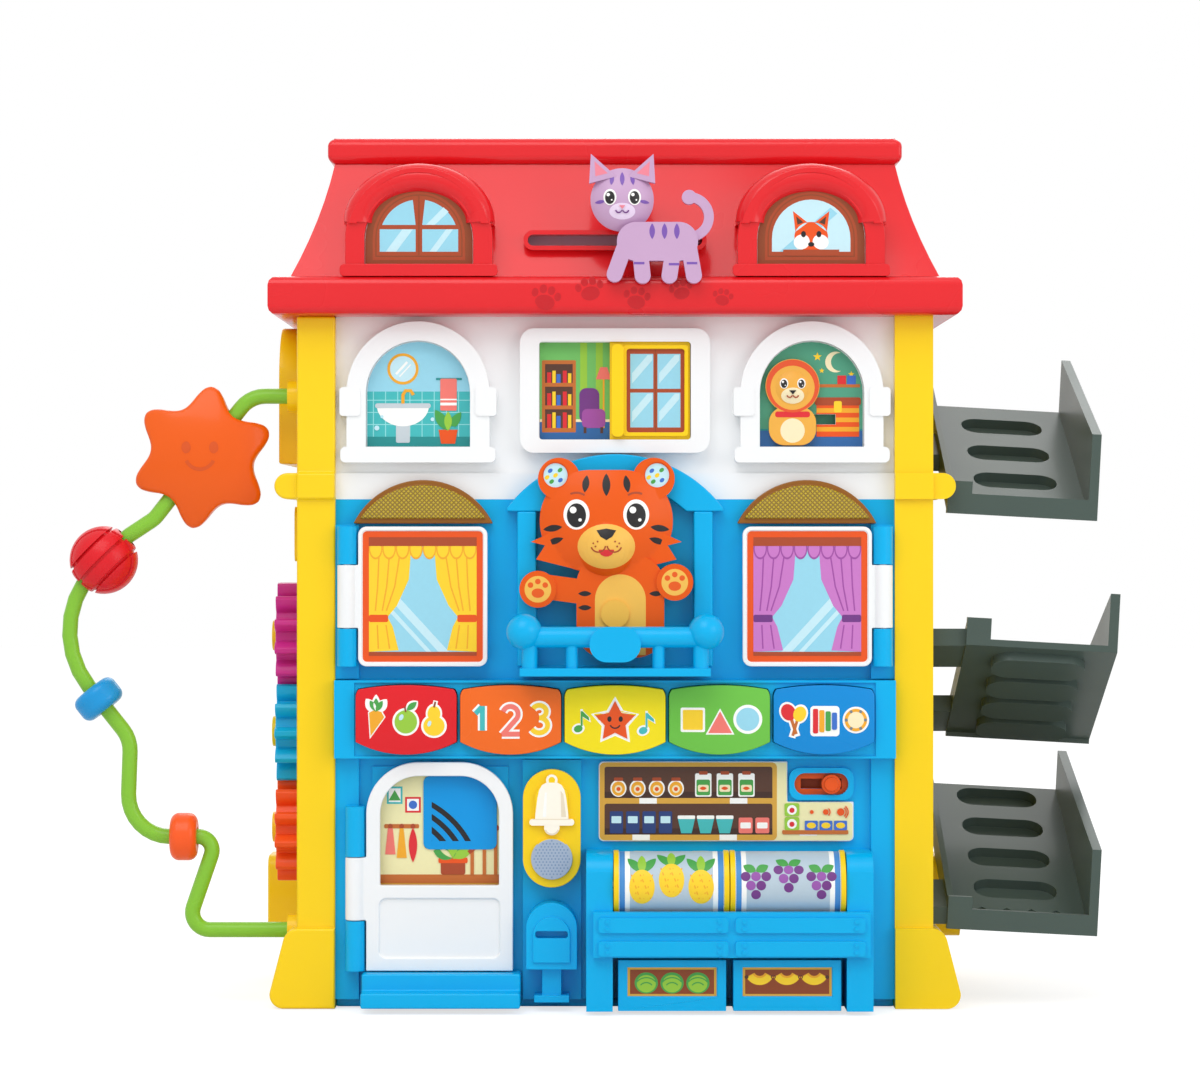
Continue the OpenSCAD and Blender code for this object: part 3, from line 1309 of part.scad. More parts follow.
// A walking kitten on a stem that runs in the roof slot
module cat() color([0.8, 0.67, 0.84]) {
    intersection() {
        facing(cat_back_y, cat_t) translate(cat_head) circle(cat_head_r);
        translate([cat_head[0], cat_back_y - cat_t + cat_dome_r, cat_head[1]]) sphere(cat_dome_r);
    }
    facing(cat_back_y, cat_t - 4) {
        for (s = [-1, 1]) translate(cat_head + [s * 11, 11]) rotate(s * -14)
            polygon([[-8, 0], [8, 0], [s * 3, 16]]);
        translate(cat_tail) {
            intersection() {
                difference() {
                    circle(tail_r);
                    circle(tail_r - tail_w);
                }
                translate([0, -tail_r]) square([tail_r, 2 * tail_r]);
            }
            translate([0, tail_r - tail_w / 2]) circle(tail_w * 0.75);
        }
    }
    facing(cat_back_y, cat_t - 2) {
        translate([cat_x + 6, cat_foot_z + 24]) rounded(46, 22, 10.9);
        for (leg = cat_legs) translate([cat_x + leg[0], cat_foot_z + 20]) rotate(leg[1])
            translate([0, -cat_leg_h / 3]) rounded(cat_leg_w, cat_leg_h, cat_leg_w / 2 - 0.1);
    }
    block([cat_x - 3, cat_back_y - 1, slot_z - slot_h / 2 + clear],
        [cat_x + 3, housing_back_y - 4, slot_z + slot_h / 2 - clear]);
    block([cat_x - 5, housing_back_y - 7, slot_z - pocket_h / 2 + clear],
        [cat_x + 5, housing_back_y - 4, slot_z + pocket_h / 2 - clear]);
}

peek_t = 6;
peek_back_y = upper_y - card_t - clear;
// A lion cub that peeks from the window, on a stem that runs in a slot in the wall
module peek_figure() color([0.98, 0.68, 0.15]) translate([peek_x, 0, sill_z]) {
    facing(peek_back_y, peek_t - 2) {
        translate([0, 35]) circle(peek_head_r);
        translate([0, 12]) rounded(27, 22, 9);
    }
    intersection() {
        facing(peek_back_y, peek_t + 3) translate([0, 34]) circle(12.5);
        translate([0, peek_back_y - peek_t + 17, 34]) sphere(18);
    }
    block([-peek_stem / 2, peek_back_y - 1, peek_slot_up - peek_stem / 2],
        [peek_stem / 2, upper_y + panel_t + 3, peek_slot_up + peek_stem / 2]);
    block([-peek_stem, upper_y + panel_t + clear, peek_slot_up - peek_stem],
        [peek_stem, upper_y + panel_t + 3, peek_slot_up + peek_stem]);
}

base_plate();
left_wall();
right_wall();
back_panel();
lower_front();
upper_front();
roof_shell();
roof_cap();
dormers();
slot_strip();
picture_cards();
amber_lenses();
balcony_arch();
balcony_posts();
balcony_rail();
hinge_pins();
key_bar();
circuit_boards();
speaker_grille();
speaker();
letterbox();
doorstep();
shelf_panel();
stall_cheeks();
crate_front();
produce_boxes();
roller_axle();
gear_axles();
bead_wire();
ramp_top();
ramp_middle();
ramp_lower();
battery_box();
battery_door();
battery_cells();
case_screws();
cat();
window_slider();
peek_figure();
tiger();
shutter_left();
shutter_right();
door();
key_1();
key_2();
key_3();
key_4();
key_5();
bell_key();
volume_knob();
roller_left();
roller_right();
gear_upper();
gear_middle();
gear_lower();
sun();
toy_ball();
blue_bead();
orange_bead();
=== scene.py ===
import json
import math

import bpy
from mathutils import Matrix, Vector


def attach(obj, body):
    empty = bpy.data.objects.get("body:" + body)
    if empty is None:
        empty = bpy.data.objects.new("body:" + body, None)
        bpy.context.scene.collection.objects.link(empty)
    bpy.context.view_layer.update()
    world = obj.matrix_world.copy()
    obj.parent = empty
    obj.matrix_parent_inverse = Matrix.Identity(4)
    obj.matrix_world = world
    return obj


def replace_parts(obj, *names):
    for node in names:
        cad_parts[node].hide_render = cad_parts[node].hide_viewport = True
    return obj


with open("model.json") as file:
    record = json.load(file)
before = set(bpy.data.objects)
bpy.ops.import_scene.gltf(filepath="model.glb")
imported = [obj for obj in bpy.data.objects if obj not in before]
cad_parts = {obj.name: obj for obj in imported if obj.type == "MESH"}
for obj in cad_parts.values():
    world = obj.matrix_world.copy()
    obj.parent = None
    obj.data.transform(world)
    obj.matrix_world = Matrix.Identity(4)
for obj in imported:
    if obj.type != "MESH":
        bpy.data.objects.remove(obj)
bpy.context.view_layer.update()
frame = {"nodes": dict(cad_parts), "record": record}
mm = 0.001
print("stage: frame loaded,", len(frame["nodes"]), "nodes")


class Wire:  # one shader socket, with sums that add their own Math nodes
    def __init__(self, tree, socket=None):
        self.tree, self.socket = tree, socket

    def node(self, kind, inputs=(), out=0, **settings):
        made = self.tree.nodes.new("ShaderNode" + kind)
        for name, value in settings.items():
            setattr(made, name, value)
        for name, value in dict(inputs).items():
            if isinstance(value, Wire):
                self.tree.links.new(value.socket, made.inputs[name])
            else:
                made.inputs[name].default_value = value
        return Wire(self.tree, made.outputs[out] if len(made.outputs) else None)

    def maths(self, operation, *values):
        return self.node("Math", dict(enumerate(values)), operation=operation)

    def atMost(self, limit): return self.maths("MINIMUM", self, limit)
    def folded(self, size): return self.maths("PINGPONG", self, size)
    def __add__(self, other): return self.maths("ADD", self, other)
    def __radd__(self, other): return self.maths("ADD", other, self)
    def __sub__(self, other): return self.maths("SUBTRACT", self, other)
    def __mul__(self, other): return self.maths("MULTIPLY", self, other)
    def __rmul__(self, other): return self.maths("MULTIPLY", other, self)
    def __truediv__(self, other): return self.maths("DIVIDE", self, other)
    def __lt__(self, other): return self.maths("LESS_THAN", self, other)

    def place(self):
        return self.node("TexCoord", out=3)

    def noise(self, scale, detail):
        return self.node("TexNoise", {"Vector": self.place(), "Scale": scale, "Detail": detail})

    def mixed(self, first, second):  # this wire as the share of the second colour
        return self.node("Mix", {0: self, 6: first, 7: second}, 2, data_type="RGBA")


def shade(red, green, blue):  # screen colour 0..255 to the renderer's own
    def one(level):
        level /= 255
        return level / 12.92 if level <= 0.04045 else ((level + 0.055) / 1.055) ** 2.4
    return one(red), one(green), one(blue), 1.0


def newMaterial(name):
    material = bpy.data.materials.new(name)
    material.use_nodes = True
    material.node_tree.nodes.clear()
    return material, Wire(material.node_tree)


def skinned(material, wire, inputs):
    wire.node("OutputMaterial", {"Surface": wire.node("BsdfPrincipled", inputs)})
    return material


def pick(*objects):
    bpy.ops.object.select_all(action="DESELECT")
    for thing in objects:
        thing.select_set(True)
    bpy.context.view_layer.objects.active = objects[0]


def newObject(name, data):
    thing = bpy.data.objects.new(name, data)
    bpy.context.scene.collection.objects.link(thing)
    pick(thing)
    return thing


def applied(piece, kind, **settings):
    pick(piece)
    step = piece.modifiers.new(kind.title(), kind)
    for name, value in settings.items():
        setattr(step, name, value)
    bpy.ops.object.modifier_apply(modifier=step.name)
    return piece


# camera and studio
cameraSet = {"x": -8.6, "z": 270.0, "frontY": -100.0, "distance": 2200.0, "frameWidth": 690.0, "sensor": 36.0}


def placeCamera():
    lens = cameraSet["sensor"] * cameraSet["distance"] / cameraSet["frameWidth"]
    at = Vector((cameraSet["x"], cameraSet["frontY"] - cameraSet["distance"], cameraSet["z"])) * mm
    bpy.ops.object.camera_add(location=at, rotation=(math.radians(90), 0, 0))
    camera = bpy.context.object
    camera.data.sensor_width, camera.data.lens = cameraSet["sensor"], lens
    camera.data.clip_start, camera.data.clip_end = 0.05, 50
    bpy.context.scene.camera = camera


lamps = {  # place, size, watts, all aimed at the middle of the house
    "softboxTop": ((-0.5, -1.5, 2.1), 1.6, 20.0),
    "softboxRight": ((1.6, -1.5, 0.9), 1.2, 9.0),
    "softboxBack": ((0.2, 1.8, 1.6), 1.4, 12.0),
}


def lightStudio():
    middle = Vector((0, 0, 0.25))
    for name, (place, size, power) in lamps.items():
        bpy.ops.object.light_add(type="AREA", location=place)
        lamp = bpy.context.object
        lamp.name, lamp.data.size, lamp.data.energy = name, size, power
        lamp.rotation_euler = (middle - Vector(place)).to_track_quat("-Z", "Y").to_euler()
    world = bpy.data.worlds.new("studio")
    bpy.context.scene.world = world
    world.use_nodes = True
    world.node_tree.nodes.clear()
    wire = Wire(world.node_tree)
    seen = (wire.node("LightPath", out=0) + wire.node("LightPath", out=3)
            + wire.node("LightPath", out=6)).atMost(1.0)
    strength = 0.8 + 0.2 * seen
    sky = wire.node("Background", {"Color": (1, 1, 1, 1), "Strength": strength})
    wire.node("OutputWorld", {"Surface": sky})


def layFloor():
    bpy.ops.mesh.primitive_plane_add(size=14, location=(0, 0, -0.0004))
    floor = bpy.context.object
    floor.name = "floor"
    material, wire = newMaterial("pale_floor")
    direct = wire.node("LightPath", out=0)
    dull = wire.node("BsdfDiffuse", {"Color": (0.8, 0.8, 0.8, 1)})
    faint = wire.node("BsdfDiffuse", {"Color": (0.42, 0.42, 0.42, 1)})
    glow = wire.node("Emission", {"Color": (1, 1, 1, 1), "Strength": 0.7})
    shown = wire.node("AddShader", {0: faint, 1: glow})
    wire.node("OutputMaterial", {"Surface": wire.node("MixShader", {0: direct, 1: dull, 2: shown})})
    floor.data.materials.append(material)


placeCamera()
lightStudio()
layFloor()
bpy.context.scene.view_settings.view_transform = "Standard"
print("stage: camera, lamps and floor")

# finishes: screen colour, roughness, coat
plastics = {
    "red": ((226, 26, 34), 0.28, 0.40), "yellow": ((250, 210, 16), 0.30, 0.20),
    "white": ((243, 245, 246), 0.30, 0.20), "blue": ((0, 177, 235), 0.30, 0.06),
    "rampGrey": ((74, 88, 82), 0.36, 0.05), "lime": ((134, 196, 58), 0.28, 0.12),
    "sunOrange": ((236, 94, 14), 0.30, 0.16), "ballRed": ((222, 28, 38), 0.32, 0.08),
    "beadBlue": ((28, 150, 216), 0.30, 0.10), "beadOrange": ((246, 92, 34), 0.30, 0.10),
    "purple": ((206, 50, 158), 0.30, 0.10), "gearBlue": ((20, 180, 240), 0.30, 0.10),
    "gearOrange": ((250, 92, 36), 0.30, 0.10), "keyRed": ((224, 28, 38), 0.26, 0.14),
    "keyOrange": ((243, 108, 30), 0.26, 0.14), "keyYellow": ((247, 226, 22), 0.26, 0.14),
    "keyGreen": ((110, 194, 72), 0.26, 0.14), "keyBlue": ((0, 138, 214), 0.26, 0.14),
    "knobOrange": ((238, 88, 26), 0.30, 0.10), "lavender": ((200, 164, 200), 0.34, 0.06),
    "tigerOrange": ((232, 90, 14), 0.36, 0.05), "cubAmber": ((238, 176, 74), 0.36, 0.05),
    # slotPink: painted light, the slot strip's pink made far paler than its own colour to lift it out of the
    # shade inside the slot
    "discSteelBlue": ((165, 180, 200), 0.34, 0.06), "slotPink": ((255, 214, 238), 0.34, 0.06),
    "darkGap": ((40, 44, 50), 0.55, 0.0), "grilleBlue": ((10, 152, 226), 0.34, 0.06),
}


def mouldedPlastic(name, colour, rough, coat):
    material, wire = newMaterial(name)
    cloud, peel, base = wire.noise(14.0, 3.0), wire.noise(900.0, 2.0), shade(*colour)
    deep = tuple(level * 0.93 for level in base[:3]) + (1,)
    return skinned(material, wire, {
        "Base Color": cloud.mixed(base, deep), "Roughness": rough - 0.05 + 0.1 * cloud,
        "Specular IOR Level": 0.2, "Coat Weight": coat, "Coat Roughness": 0.1,
        "Normal": wire.node("Bump", {"Height": peel, "Strength": 0.05, "Distance": 0.0004})})


finishes = {name: mouldedPlastic("plastic_" + name, *facts) for name, facts in plastics.items()}


def brushedSteel():
    material, wire = newMaterial("turned_steel")
    rough = 0.2 + 0.2 * wire.noise(700.0, 4.0)
    return skinned(material, wire, {"Base Color": (0.62, 0.63, 0.65, 1), "Metallic": 1.0, "Roughness": rough})


def prismAmber():  # moulded lens with a grid of small pyramids, coloured darker in their valleys and lighter on their peaks as painted shade and light
    material, wire = newMaterial("amber_prisms")
    along, up = (wire.node("SeparateXYZ", {"Vector": wire.place()}, out) for out in (0, 2))
    pitch = 2.6 * mm
    peak = ((along + up) / pitch).folded(0.5).atMost(((along - up) / pitch).folded(0.5)) * 2.0
    return skinned(material, wire, {
        # painted shade and light: the base colour follows the pyramids' height, dark down in the valleys and
        # bright on the peaks
        "Base Color": peak.mixed(shade(130, 98, 6), shade(226, 196, 20)), "Roughness": 0.18 + 0.1 * peak,
        "Coat Weight": 0.3, "Coat Roughness": 0.06,
        "Normal": wire.node("Bump", {"Height": peak, "Strength": 0.7, "Distance": 0.0012})})


def circuitGreen():
    material, wire = newMaterial("board_green")
    cells = wire.node("TexVoronoi", {"Vector": wire.place(), "Scale": 160.0})
    tint = (cells < 0.35).mixed(shade(24, 96, 54), shade(60, 140, 84))
    return skinned(material, wire, {"Base Color": tint, "Roughness": 0.4 + 0.1 * cells})


finishes["steel"] = brushedSteel()
finishes["amber"] = prismAmber()
finishes["board"] = circuitGreen()
print("stage:", len(finishes), "finishes")

# mouldings by finish and record slot: each CAD node's edge radius in mm, or 0 where it is puffed up
mouldings = {
    ("blue", "blue_plastic"): {
        "base_plate": 1.0, "back_panel": 1.5, "lower_front": 1.0, "balcony_arch": 1.2, "balcony_posts": 1.2,
        "balcony_rail": 0.8, "key_bar": 1.6, "letterbox": 0.7, "doorstep": 1.2, "stall_cheeks": 1.4,
        "crate_front": 0.8, "produce_boxes": 1.2, "battery_door": 0.8},
    ("yellow", "yellow_plastic"): {
        "left_wall": 2.2, "right_wall": 2.2, "gear_axles": 0.6, "window_slider": 0.6, "bell_key": 1.4},
    ("white", "white_plastic"): {"upper_front": 0.9, "shutter_left": 1.2, "shutter_right": 1.2, "door": 1.6},
    ("white", "printed_card"): {
        "roller_left": 0.5, "roller_right": 0.5, "shelf_panel": 0.6, "picture_cards": 0.2},
    ("red", "red_plastic"): {"roof_shell": 1.6, "roof_cap": 2.4, "dormers": 1.2},
    ("rampGrey", "grey_plastic"): {"ramp_top": 1.0, "ramp_middle": 1.0, "ramp_lower": 1.0},
    # the slot strip gets the paled pink, painted light against the shade in the slot
    ("slotPink", "lilac_plastic"): {"slot_strip": 0.3}, ("amber", "amber_plastic"): {"amber_lenses": 0.8},
    ("grilleBlue", "blue_plastic"): {"speaker_grille": 0.4}, ("lavender", "lilac_plastic"): {"cat": 1.6},
    ("cubAmber", "amber_yellow_plastic"): {"peek_figure": 0.8}, ("keyRed", "red_plastic"): {"key_1": 1.2},
    ("tigerOrange", "orange_plastic"): {"tiger": 1.4}, ("keyOrange", "orange_plastic"): {"key_2": 1.2},
    ("keyYellow", "lemon_plastic"): {"key_3": 1.2}, ("keyGreen", "green_plastic"): {"key_4": 1.2},
    ("keyBlue", "deep_blue_plastic"): {"key_5": 1.2}, ("knobOrange", "orange_plastic"): {"volume_knob": 0.8},
    ("purple", "purple_plastic"): {"gear_upper": 0.9}, ("sunOrange", "sun_plastic"): {"sun": 0},
    ("gearBlue", "bead_blue_plastic"): {"gear_middle": 0.9},
    ("gearOrange", "bead_orange_plastic"): {"gear_lower": 0.9},
    ("ballRed", "red_plastic"): {"toy_ball": 0.7}, ("beadBlue", "bead_blue_plastic"): {"blue_bead": 1.2},
    ("beadOrange", "bead_orange_plastic"): {"orange_bead": 1.2}, ("lime", "lime_plastic"): {"bead_wire": 0.6},
}
plainNodes = {  # inner and small turned parts keep their CAD mesh
    "hinge_pins": "steel", "circuit_boards": "board", "speaker": "darkGap", "roller_axle": "steel",
    "battery_box": "rampGrey", "battery_cells": "steel", "case_screws": "steel",
}
edgeAngle, flatAngle = math.radians(34), math.radians(1)
mergeGap, sliverGap = 0.01 * mm, 0.02 * mm
bodyOf = {node: body for body, nodes in frame["record"]["behaviour"]["bodies"].items() for node in nodes}


def edited(*steps):  # each step and its settings, on the whole of the active mesh
    bpy.ops.object.mode_set(mode="EDIT")
    bpy.ops.mesh.select_all(action="SELECT")
    for step, settings in steps:
        step(**settings)
    bpy.ops.object.mode_set(mode="OBJECT")


def ownMesh(node, name):  # a copy of a CAD node's mesh, merged and with its flat faces joined up
    piece = newObject(name, frame["nodes"][node].data.copy())
    piece.data.materials.clear()
    edited((bpy.ops.mesh.remove_doubles, {"threshold": mergeGap}),
           (bpy.ops.mesh.dissolve_limited, {"angle_limit": flatAngle}))
    return piece


def softenEdges(piece, radius):
    applied(piece, "BEVEL", width=radius * mm, segments=3, limit_method="ANGLE", angle_limit=edgeAngle,
            use_clamp_overlap=True, miter_outer="MITER_ARC", harden_normals=False)
    bpy.ops.object.shade_smooth_by_angle(angle=edgeAngle)
    applied(piece, "WEIGHTED_NORMAL", keep_sharp=True)


fatEdges = {  # softer edges: radius in mm, and the place in mm where they lie
    "roof_shell": (5.0, lambda x, y, z: z < 418 and (y < -120 or y > 120 or abs(x) > 190)),
    "upper_front": (2.6, lambda x, y, z: y < -105.5), "dormers": (3.0, lambda x, y, z: y < -116),
    "left_wall": (3.5, lambda x, y, z: abs(y) > 105 and x < -181),
    "right_wall": (3.5, lambda x, y, z: abs(y) > 105 and x > 181),
}
puffed = {"grain": 0.8, "rounds": 45, "hole": 7.5, "middle": (-239.4, -80.0, 317.0),
          "threadTilt": (0.788, -0.616)}


def roundOver(piece, radius, wanted):
    pick(piece)
    bpy.ops.object.mode_set(mode="EDIT")
    bpy.ops.mesh.select_mode(type="EDGE")
    bpy.ops.mesh.select_all(action="DESELECT")
    bpy.ops.mesh.edges_select_sharp(sharpness=edgeAngle)
    bpy.ops.object.mode_set(mode="OBJECT")
    spots = [wanted(*(vertex.co / mm)) for vertex in piece.data.vertices]
    for edge in piece.data.edges:
        edge.select = edge.select and all(spots[end] for end in edge.vertices)
    bpy.ops.object.mode_set(mode="EDIT")
    bpy.ops.mesh.bevel(offset=radius * mm, segments=5, affect="EDGES", clamp_overlap=True)
    bpy.ops.object.mode_set(mode="OBJECT")
    edited((bpy.ops.mesh.remove_doubles, {"threshold": sliverGap}),
           (bpy.ops.mesh.dissolve_degenerate, {"threshold": sliverGap}))
    return piece


def puffUp(piece):  # the sun's points and rims rubbed round, its hole for the wire left alone
    applied(piece, "REMESH", mode="VOXEL", voxel_size=puffed["grain"] * mm)
    outer = piece.vertex_groups.new(name="outer")
    middle, (across, along) = Vector(puffed["middle"]), puffed["threadTilt"]
    for vertex in piece.data.vertices:
        off = vertex.co / mm - middle
        if math.hypot(off.x * across + off.z * along, off.y) > puffed["hole"]:
            outer.add([vertex.index], 1.0, "REPLACE")
    applied(piece, "SMOOTH", factor=0.5, iterations=puffed["rounds"], vertex_group=outer.name)
    bpy.ops.object.shade_smooth_by_angle(angle=edgeAngle)


mouldingPieces = {}
for (finish, slot), nodes in mouldings.items():
    for node, radius in nodes.items():
        piece = ownMesh(node, node + "_moulding")
        if radius:
            softenEdges(roundOver(piece, *fatEdges[node]) if node in fatEdges else piece, radius)
        else:
            puffUp(piece)
        piece.data.materials.append(finishes[finish])
        mouldingPieces[node] = piece
        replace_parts(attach(piece, bodyOf[node]), node)
for node, finish in plainNodes.items():
    for material in frame["nodes"][node].material_slots:
        material.material = finishes[finish]
print("stage:", len(mouldingPieces), "mouldings softened")

# printed pictures: flat shapes in mm, laid one over another towards the front
inks = {
    "cream": (246, 232, 190), "paper": (250, 250, 246), "sky": (150, 212, 232), "skyPale": (196, 232, 242),
    "teal": (64, 184, 186), "tealDeep": (30, 140, 140), "tealPale": (150, 222, 222), "mist": (196, 206, 212),
    "leafGreen": (70, 160, 72), "limeGreen": (150, 200, 60), "wallGreen": (112, 190, 98),
    "red": (220, 40, 48), "floorBlue": (44, 102, 164), "wood": (196, 108, 44), "woodDark": (140, 66, 30),
    "brick": (168, 70, 34), "shelfTan": (216, 164, 62), "shelfDark": (84, 52, 38),
    "sunYellow": (250, 208, 40), "gold": (240, 168, 36), "orange": (232, 82, 12), "coral": (240, 120, 110),
    "lilac": (200, 120, 196), "lilacDeep": (158, 76, 160), "plum": (112, 52, 130), "navy": (34, 60, 120),
    "royal": (58, 110, 200), "black": (28, 26, 28), "pink": (236, 132, 150), "roofInk": (196, 14, 26),
    "greyInk": (120, 128, 134), "tigerInk": (232, 90, 14), "furCream": (242, 188, 80),
    "catInk": (122, 84, 172), "catPale": (234, 214, 240), "cubMane": (226, 84, 40),
    "nightGreen": (78, 158, 128), "drumGrey": (182, 200, 212), "hallCream": (238, 232, 178),
    "bayShade": (62, 36, 28), "grapePale": (150, 84, 168), "bandBlue": (70, 140, 206),
    # bellPaintedShade: painted shade on the printed bell
    "sunInk": (216, 82, 18), "bellCream": (253, 246, 230), "bellPaintedShade": (232, 218, 192),
    "dotBlue": (120, 144, 178),
}


def printInk(name, colour):
    material, wire = newMaterial("ink_" + name)
    grain, base = wire.noise(420.0, 3.0), shade(*colour)
    worn = tuple(min(1.0, level * 0.94 + 0.01) for level in base[:3]) + (1,)
    return skinned(material, wire, {
        "Base Color": grain.mixed(base, worn), "Roughness": 0.36 + 0.12 * grain,
        "Specular IOR Level": 0.3, "Coat Weight": 0.05, "Coat Roughness": 0.2})


inkFinish = {name: printInk(name, colour) for name, colour in inks.items()}
inkStep = 0.03


def around(x, z, wide, high, angles):  # points on an oval
    return [(x + wide * math.cos(math.radians(a)), z + high * math.sin(math.radians(a))) for a in angles]


def turned(outline, x, z, angle):
    side, rise = math.cos(math.radians(angle)), math.sin(math.radians(angle))
    return [(x + (a - x) * side - (b - z) * rise, z + (a - x) * rise + (b - z) * side) for a, b in outline]


def disc(x, z, wide, high=None, turn=0.0, count=36):
    rim = around(x, z, wide, wide if high is None else high, [360 * i / count for i in range(count)])
    return turned(rim, x, z, turn)


def bar(left, low, right, top, corner=0.0):
    if not corner:
        return [(left, low), (right, low), (right, top), (left, top)]
    spots = ((right - corner, top - corner, 0), (left + corner, top - corner, 90),
             (left + corner, low + corner, 180), (right - corner, low + corner, 270))
    return [spot for x, z, a in spots for spot in around(x, z, corner, corner, range(a, a + 91, 15))]


def archPane(x, foot, half, top):  # round-headed pane
    return [(x - half, foot), (x + half, foot)] + around(x, top - half, half, half, range(0, 181, 9))


def leaf(x, z, length, half, angle):
    rim = [(t * length, half * math.sin(math.pi * t) ** 0.8) for t in (i / 12 for i in range(13))]
    outline = [(x + a, z + b) for a, b in rim] + [(x + a, z - b) for a, b in reversed(rim[1:-1])]
    return turned(outline, x, z, angle)


def star(x, z, outer, inner):  # five points
    return [around(x, z, reach, reach, [90 + 36 * i])[0] for i, reach in enumerate((outer, inner) * 5)]


def ribbon(x, z, radius, wide, start, stop, count=18):  # part of a ring
    angles, inner = [start + (stop - start) * i / count for i in range(count + 1)], radius - wide
    return around(x, z, radius, radius, angles) + around(x, z, inner, inner, angles[::-1])


def stroke(points, wide):  # a line of even width through some points
    left, right = [], []
    for i, (x, z) in enumerate(points):
        before, after = points[max(i - 1, 0)], points[min(i + 1, len(points) - 1)]
        run = Vector((after[0] - before[0], after[1] - before[1])).normalized() * wide / 2
        left.append((x - run.y, z + run.x))
        right.append((x + run.y, z - run.x))
    return left + right[::-1]


def flatOn(y):
    return lambda x, z, lift: (x, y - lift, z)


def shifted(x0, z0, place):  # for a picture drawn about its own middle
    return lambda x, z, lift: place(x0 + x, z0 + z, lift)


def crownOn(x0, z0, y, radius):  # a ball-shaped front
    def place(x, z, lift):
        off = min((x - x0) ** 2 + (z - z0) ** 2, radius ** 2)
        return x, y + radius - math.sqrt(radius ** 2 - off) - lift, z
    return place


def frontOf(*places):  # the foremost of several fronts
    return lambda x, z, lift: min((place(x, z, lift) for place in places), key=lambda spot: spot[1])


def drumOn(y0, z0, radius, start):  # round a roller whose axle runs along X
    def place(x, z, lift):
        angle = (z - z0) / radius + math.radians(start)
        return x, y0 - (radius + lift) * math.cos(angle), z0 + (radius + lift) * math.sin(angle)
    return place


def printLayer(name, ink, outlines, place, lift, cuts):
    curve = bpy.data.curves.new(name, "CURVE")
    curve.dimensions, curve.fill_mode = "2D", "BOTH"
    for outline in outlines:
        line = curve.splines.new("POLY")
        line.points.add(len(outline) - 1)
        for spot, (x, z) in zip(line.points, outline):
            spot.co = (x, z, 0, 1)
        line.use_cyclic_u = True
    newObject(name, curve)
    bpy.ops.object.convert(target="MESH")
    sheet = bpy.context.object
    if cuts:
        edited((bpy.ops.mesh.subdivide, {"number_cuts": cuts}))
    for vertex in sheet.data.vertices:
        vertex.co = Vector(place(vertex.co.x, vertex.co.y, lift)) * mm
    sheet.data.materials.append(inkFinish[ink])
    return applied(sheet, "SOLIDIFY", thickness=lift * mm, offset=-1)


def printPicture(name, node, layers, place, cuts=0, step=inkStep):
    sheets = [printLayer(name, ink, outlines, place, count * step, cuts)
              for count, (ink, outlines) in enumerate(layers, 1)]
    pick(*sheets)
    if len(sheets) > 1:
        bpy.ops.object.join()
    piece = bpy.context.object
    piece.name = name
    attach(piece, bodyOf[node])


def grown(outline, by):  # the same outline, larger all round
    x0, z0 = (sum(spot[k] for spot in outline) / len(outline) for k in (0, 1))
    wide = max(math.hypot(x - x0, z - z0) for x, z in outline)
    return [(x0 + (x - x0) * (1 + by / wide), z0 + (z - z0) * (1 + by / wide)) for x, z in outline]


def tinted(node, finish, wanted):  # another colour for the faces whose middle, in mm, is wanted
    mesh = mouldingPieces[node].data
    mesh.materials.append(finish)
    for face in mesh.polygons:
        if wanted(*(face.center / mm)):
            face.material_index = len(mesh.materials) - 1


# the upper windows' cards and the sliding window
cardY, sliderY, slotBackY = -98.1, -103.0, -91.0


def washroom():
    bowl = around(-122, 346, 15, 12, range(180, 361, 10))
    printPicture("washroom_card", "picture_cards", [
        ("sky", [archPane(-113, 322.3, 29.6, 382.6)]),
        ("teal", [bar(-142.5, 322.3, -83.5, 354)]),
        ("tealPale", [bar(line - 0.25, 328, line + 0.25, 354) for line in range(-139, -84, 7)]),
        ("tealPale", [bar(-142.5, line - 0.25, -83.5, line + 0.25) for line in (335, 342, 349)]),
        ("tealDeep", [bar(-142.5, 322.3, -83.5, 328)]),
        ("gold", [disc(-122, 367, 9)]), ("skyPale", [disc(-122, 367, 7.4)]),
        ("paper", [stroke([(-126, 364), (-119.5, 371)], 1.3), stroke([(-124, 362.5), (-117.5, 369.5)], 0.7)]),
        ("mist", [bar(-126, 324.5, -118, 338, 1)]), ("paper", [bowl]),
        ("mist", [bar(-138, 344.4, -106, 347.2, 1.3)]),
        ("gold", [stroke([(-122, 347), (-122, 352), (-120.5, 354.5), (-117.5, 354.5), (-116, 352)], 1.9)]),
        ("tealDeep", [bar(-103, 360.6, -88, 361.8, 0.5)]), ("coral", [bar(-100.5, 343, -91, 361.4, 0.8)]),
        ("paper", [bar(-100.5, 346, -91, 347.6), bar(-100.5, 349, -91, 349.8)]),
        ("orange", [[(-100, 324), (-92, 324), (-90.5, 332), (-101.5, 332)]]),
        ("leafGreen", [leaf(-96, 331.5, 14, 3, 122), leaf(-96, 331.5, 13, 2.6, 55)]),
        ("limeGreen", [leaf(-96, 331.5, 11, 2.2, 90)]),
        ("skyPale", [disc(-137, 333, 1.4), disc(-105, 338, 1.1), disc(-134, 339.5, 0.9)]),
    ], flatOn(cardY))


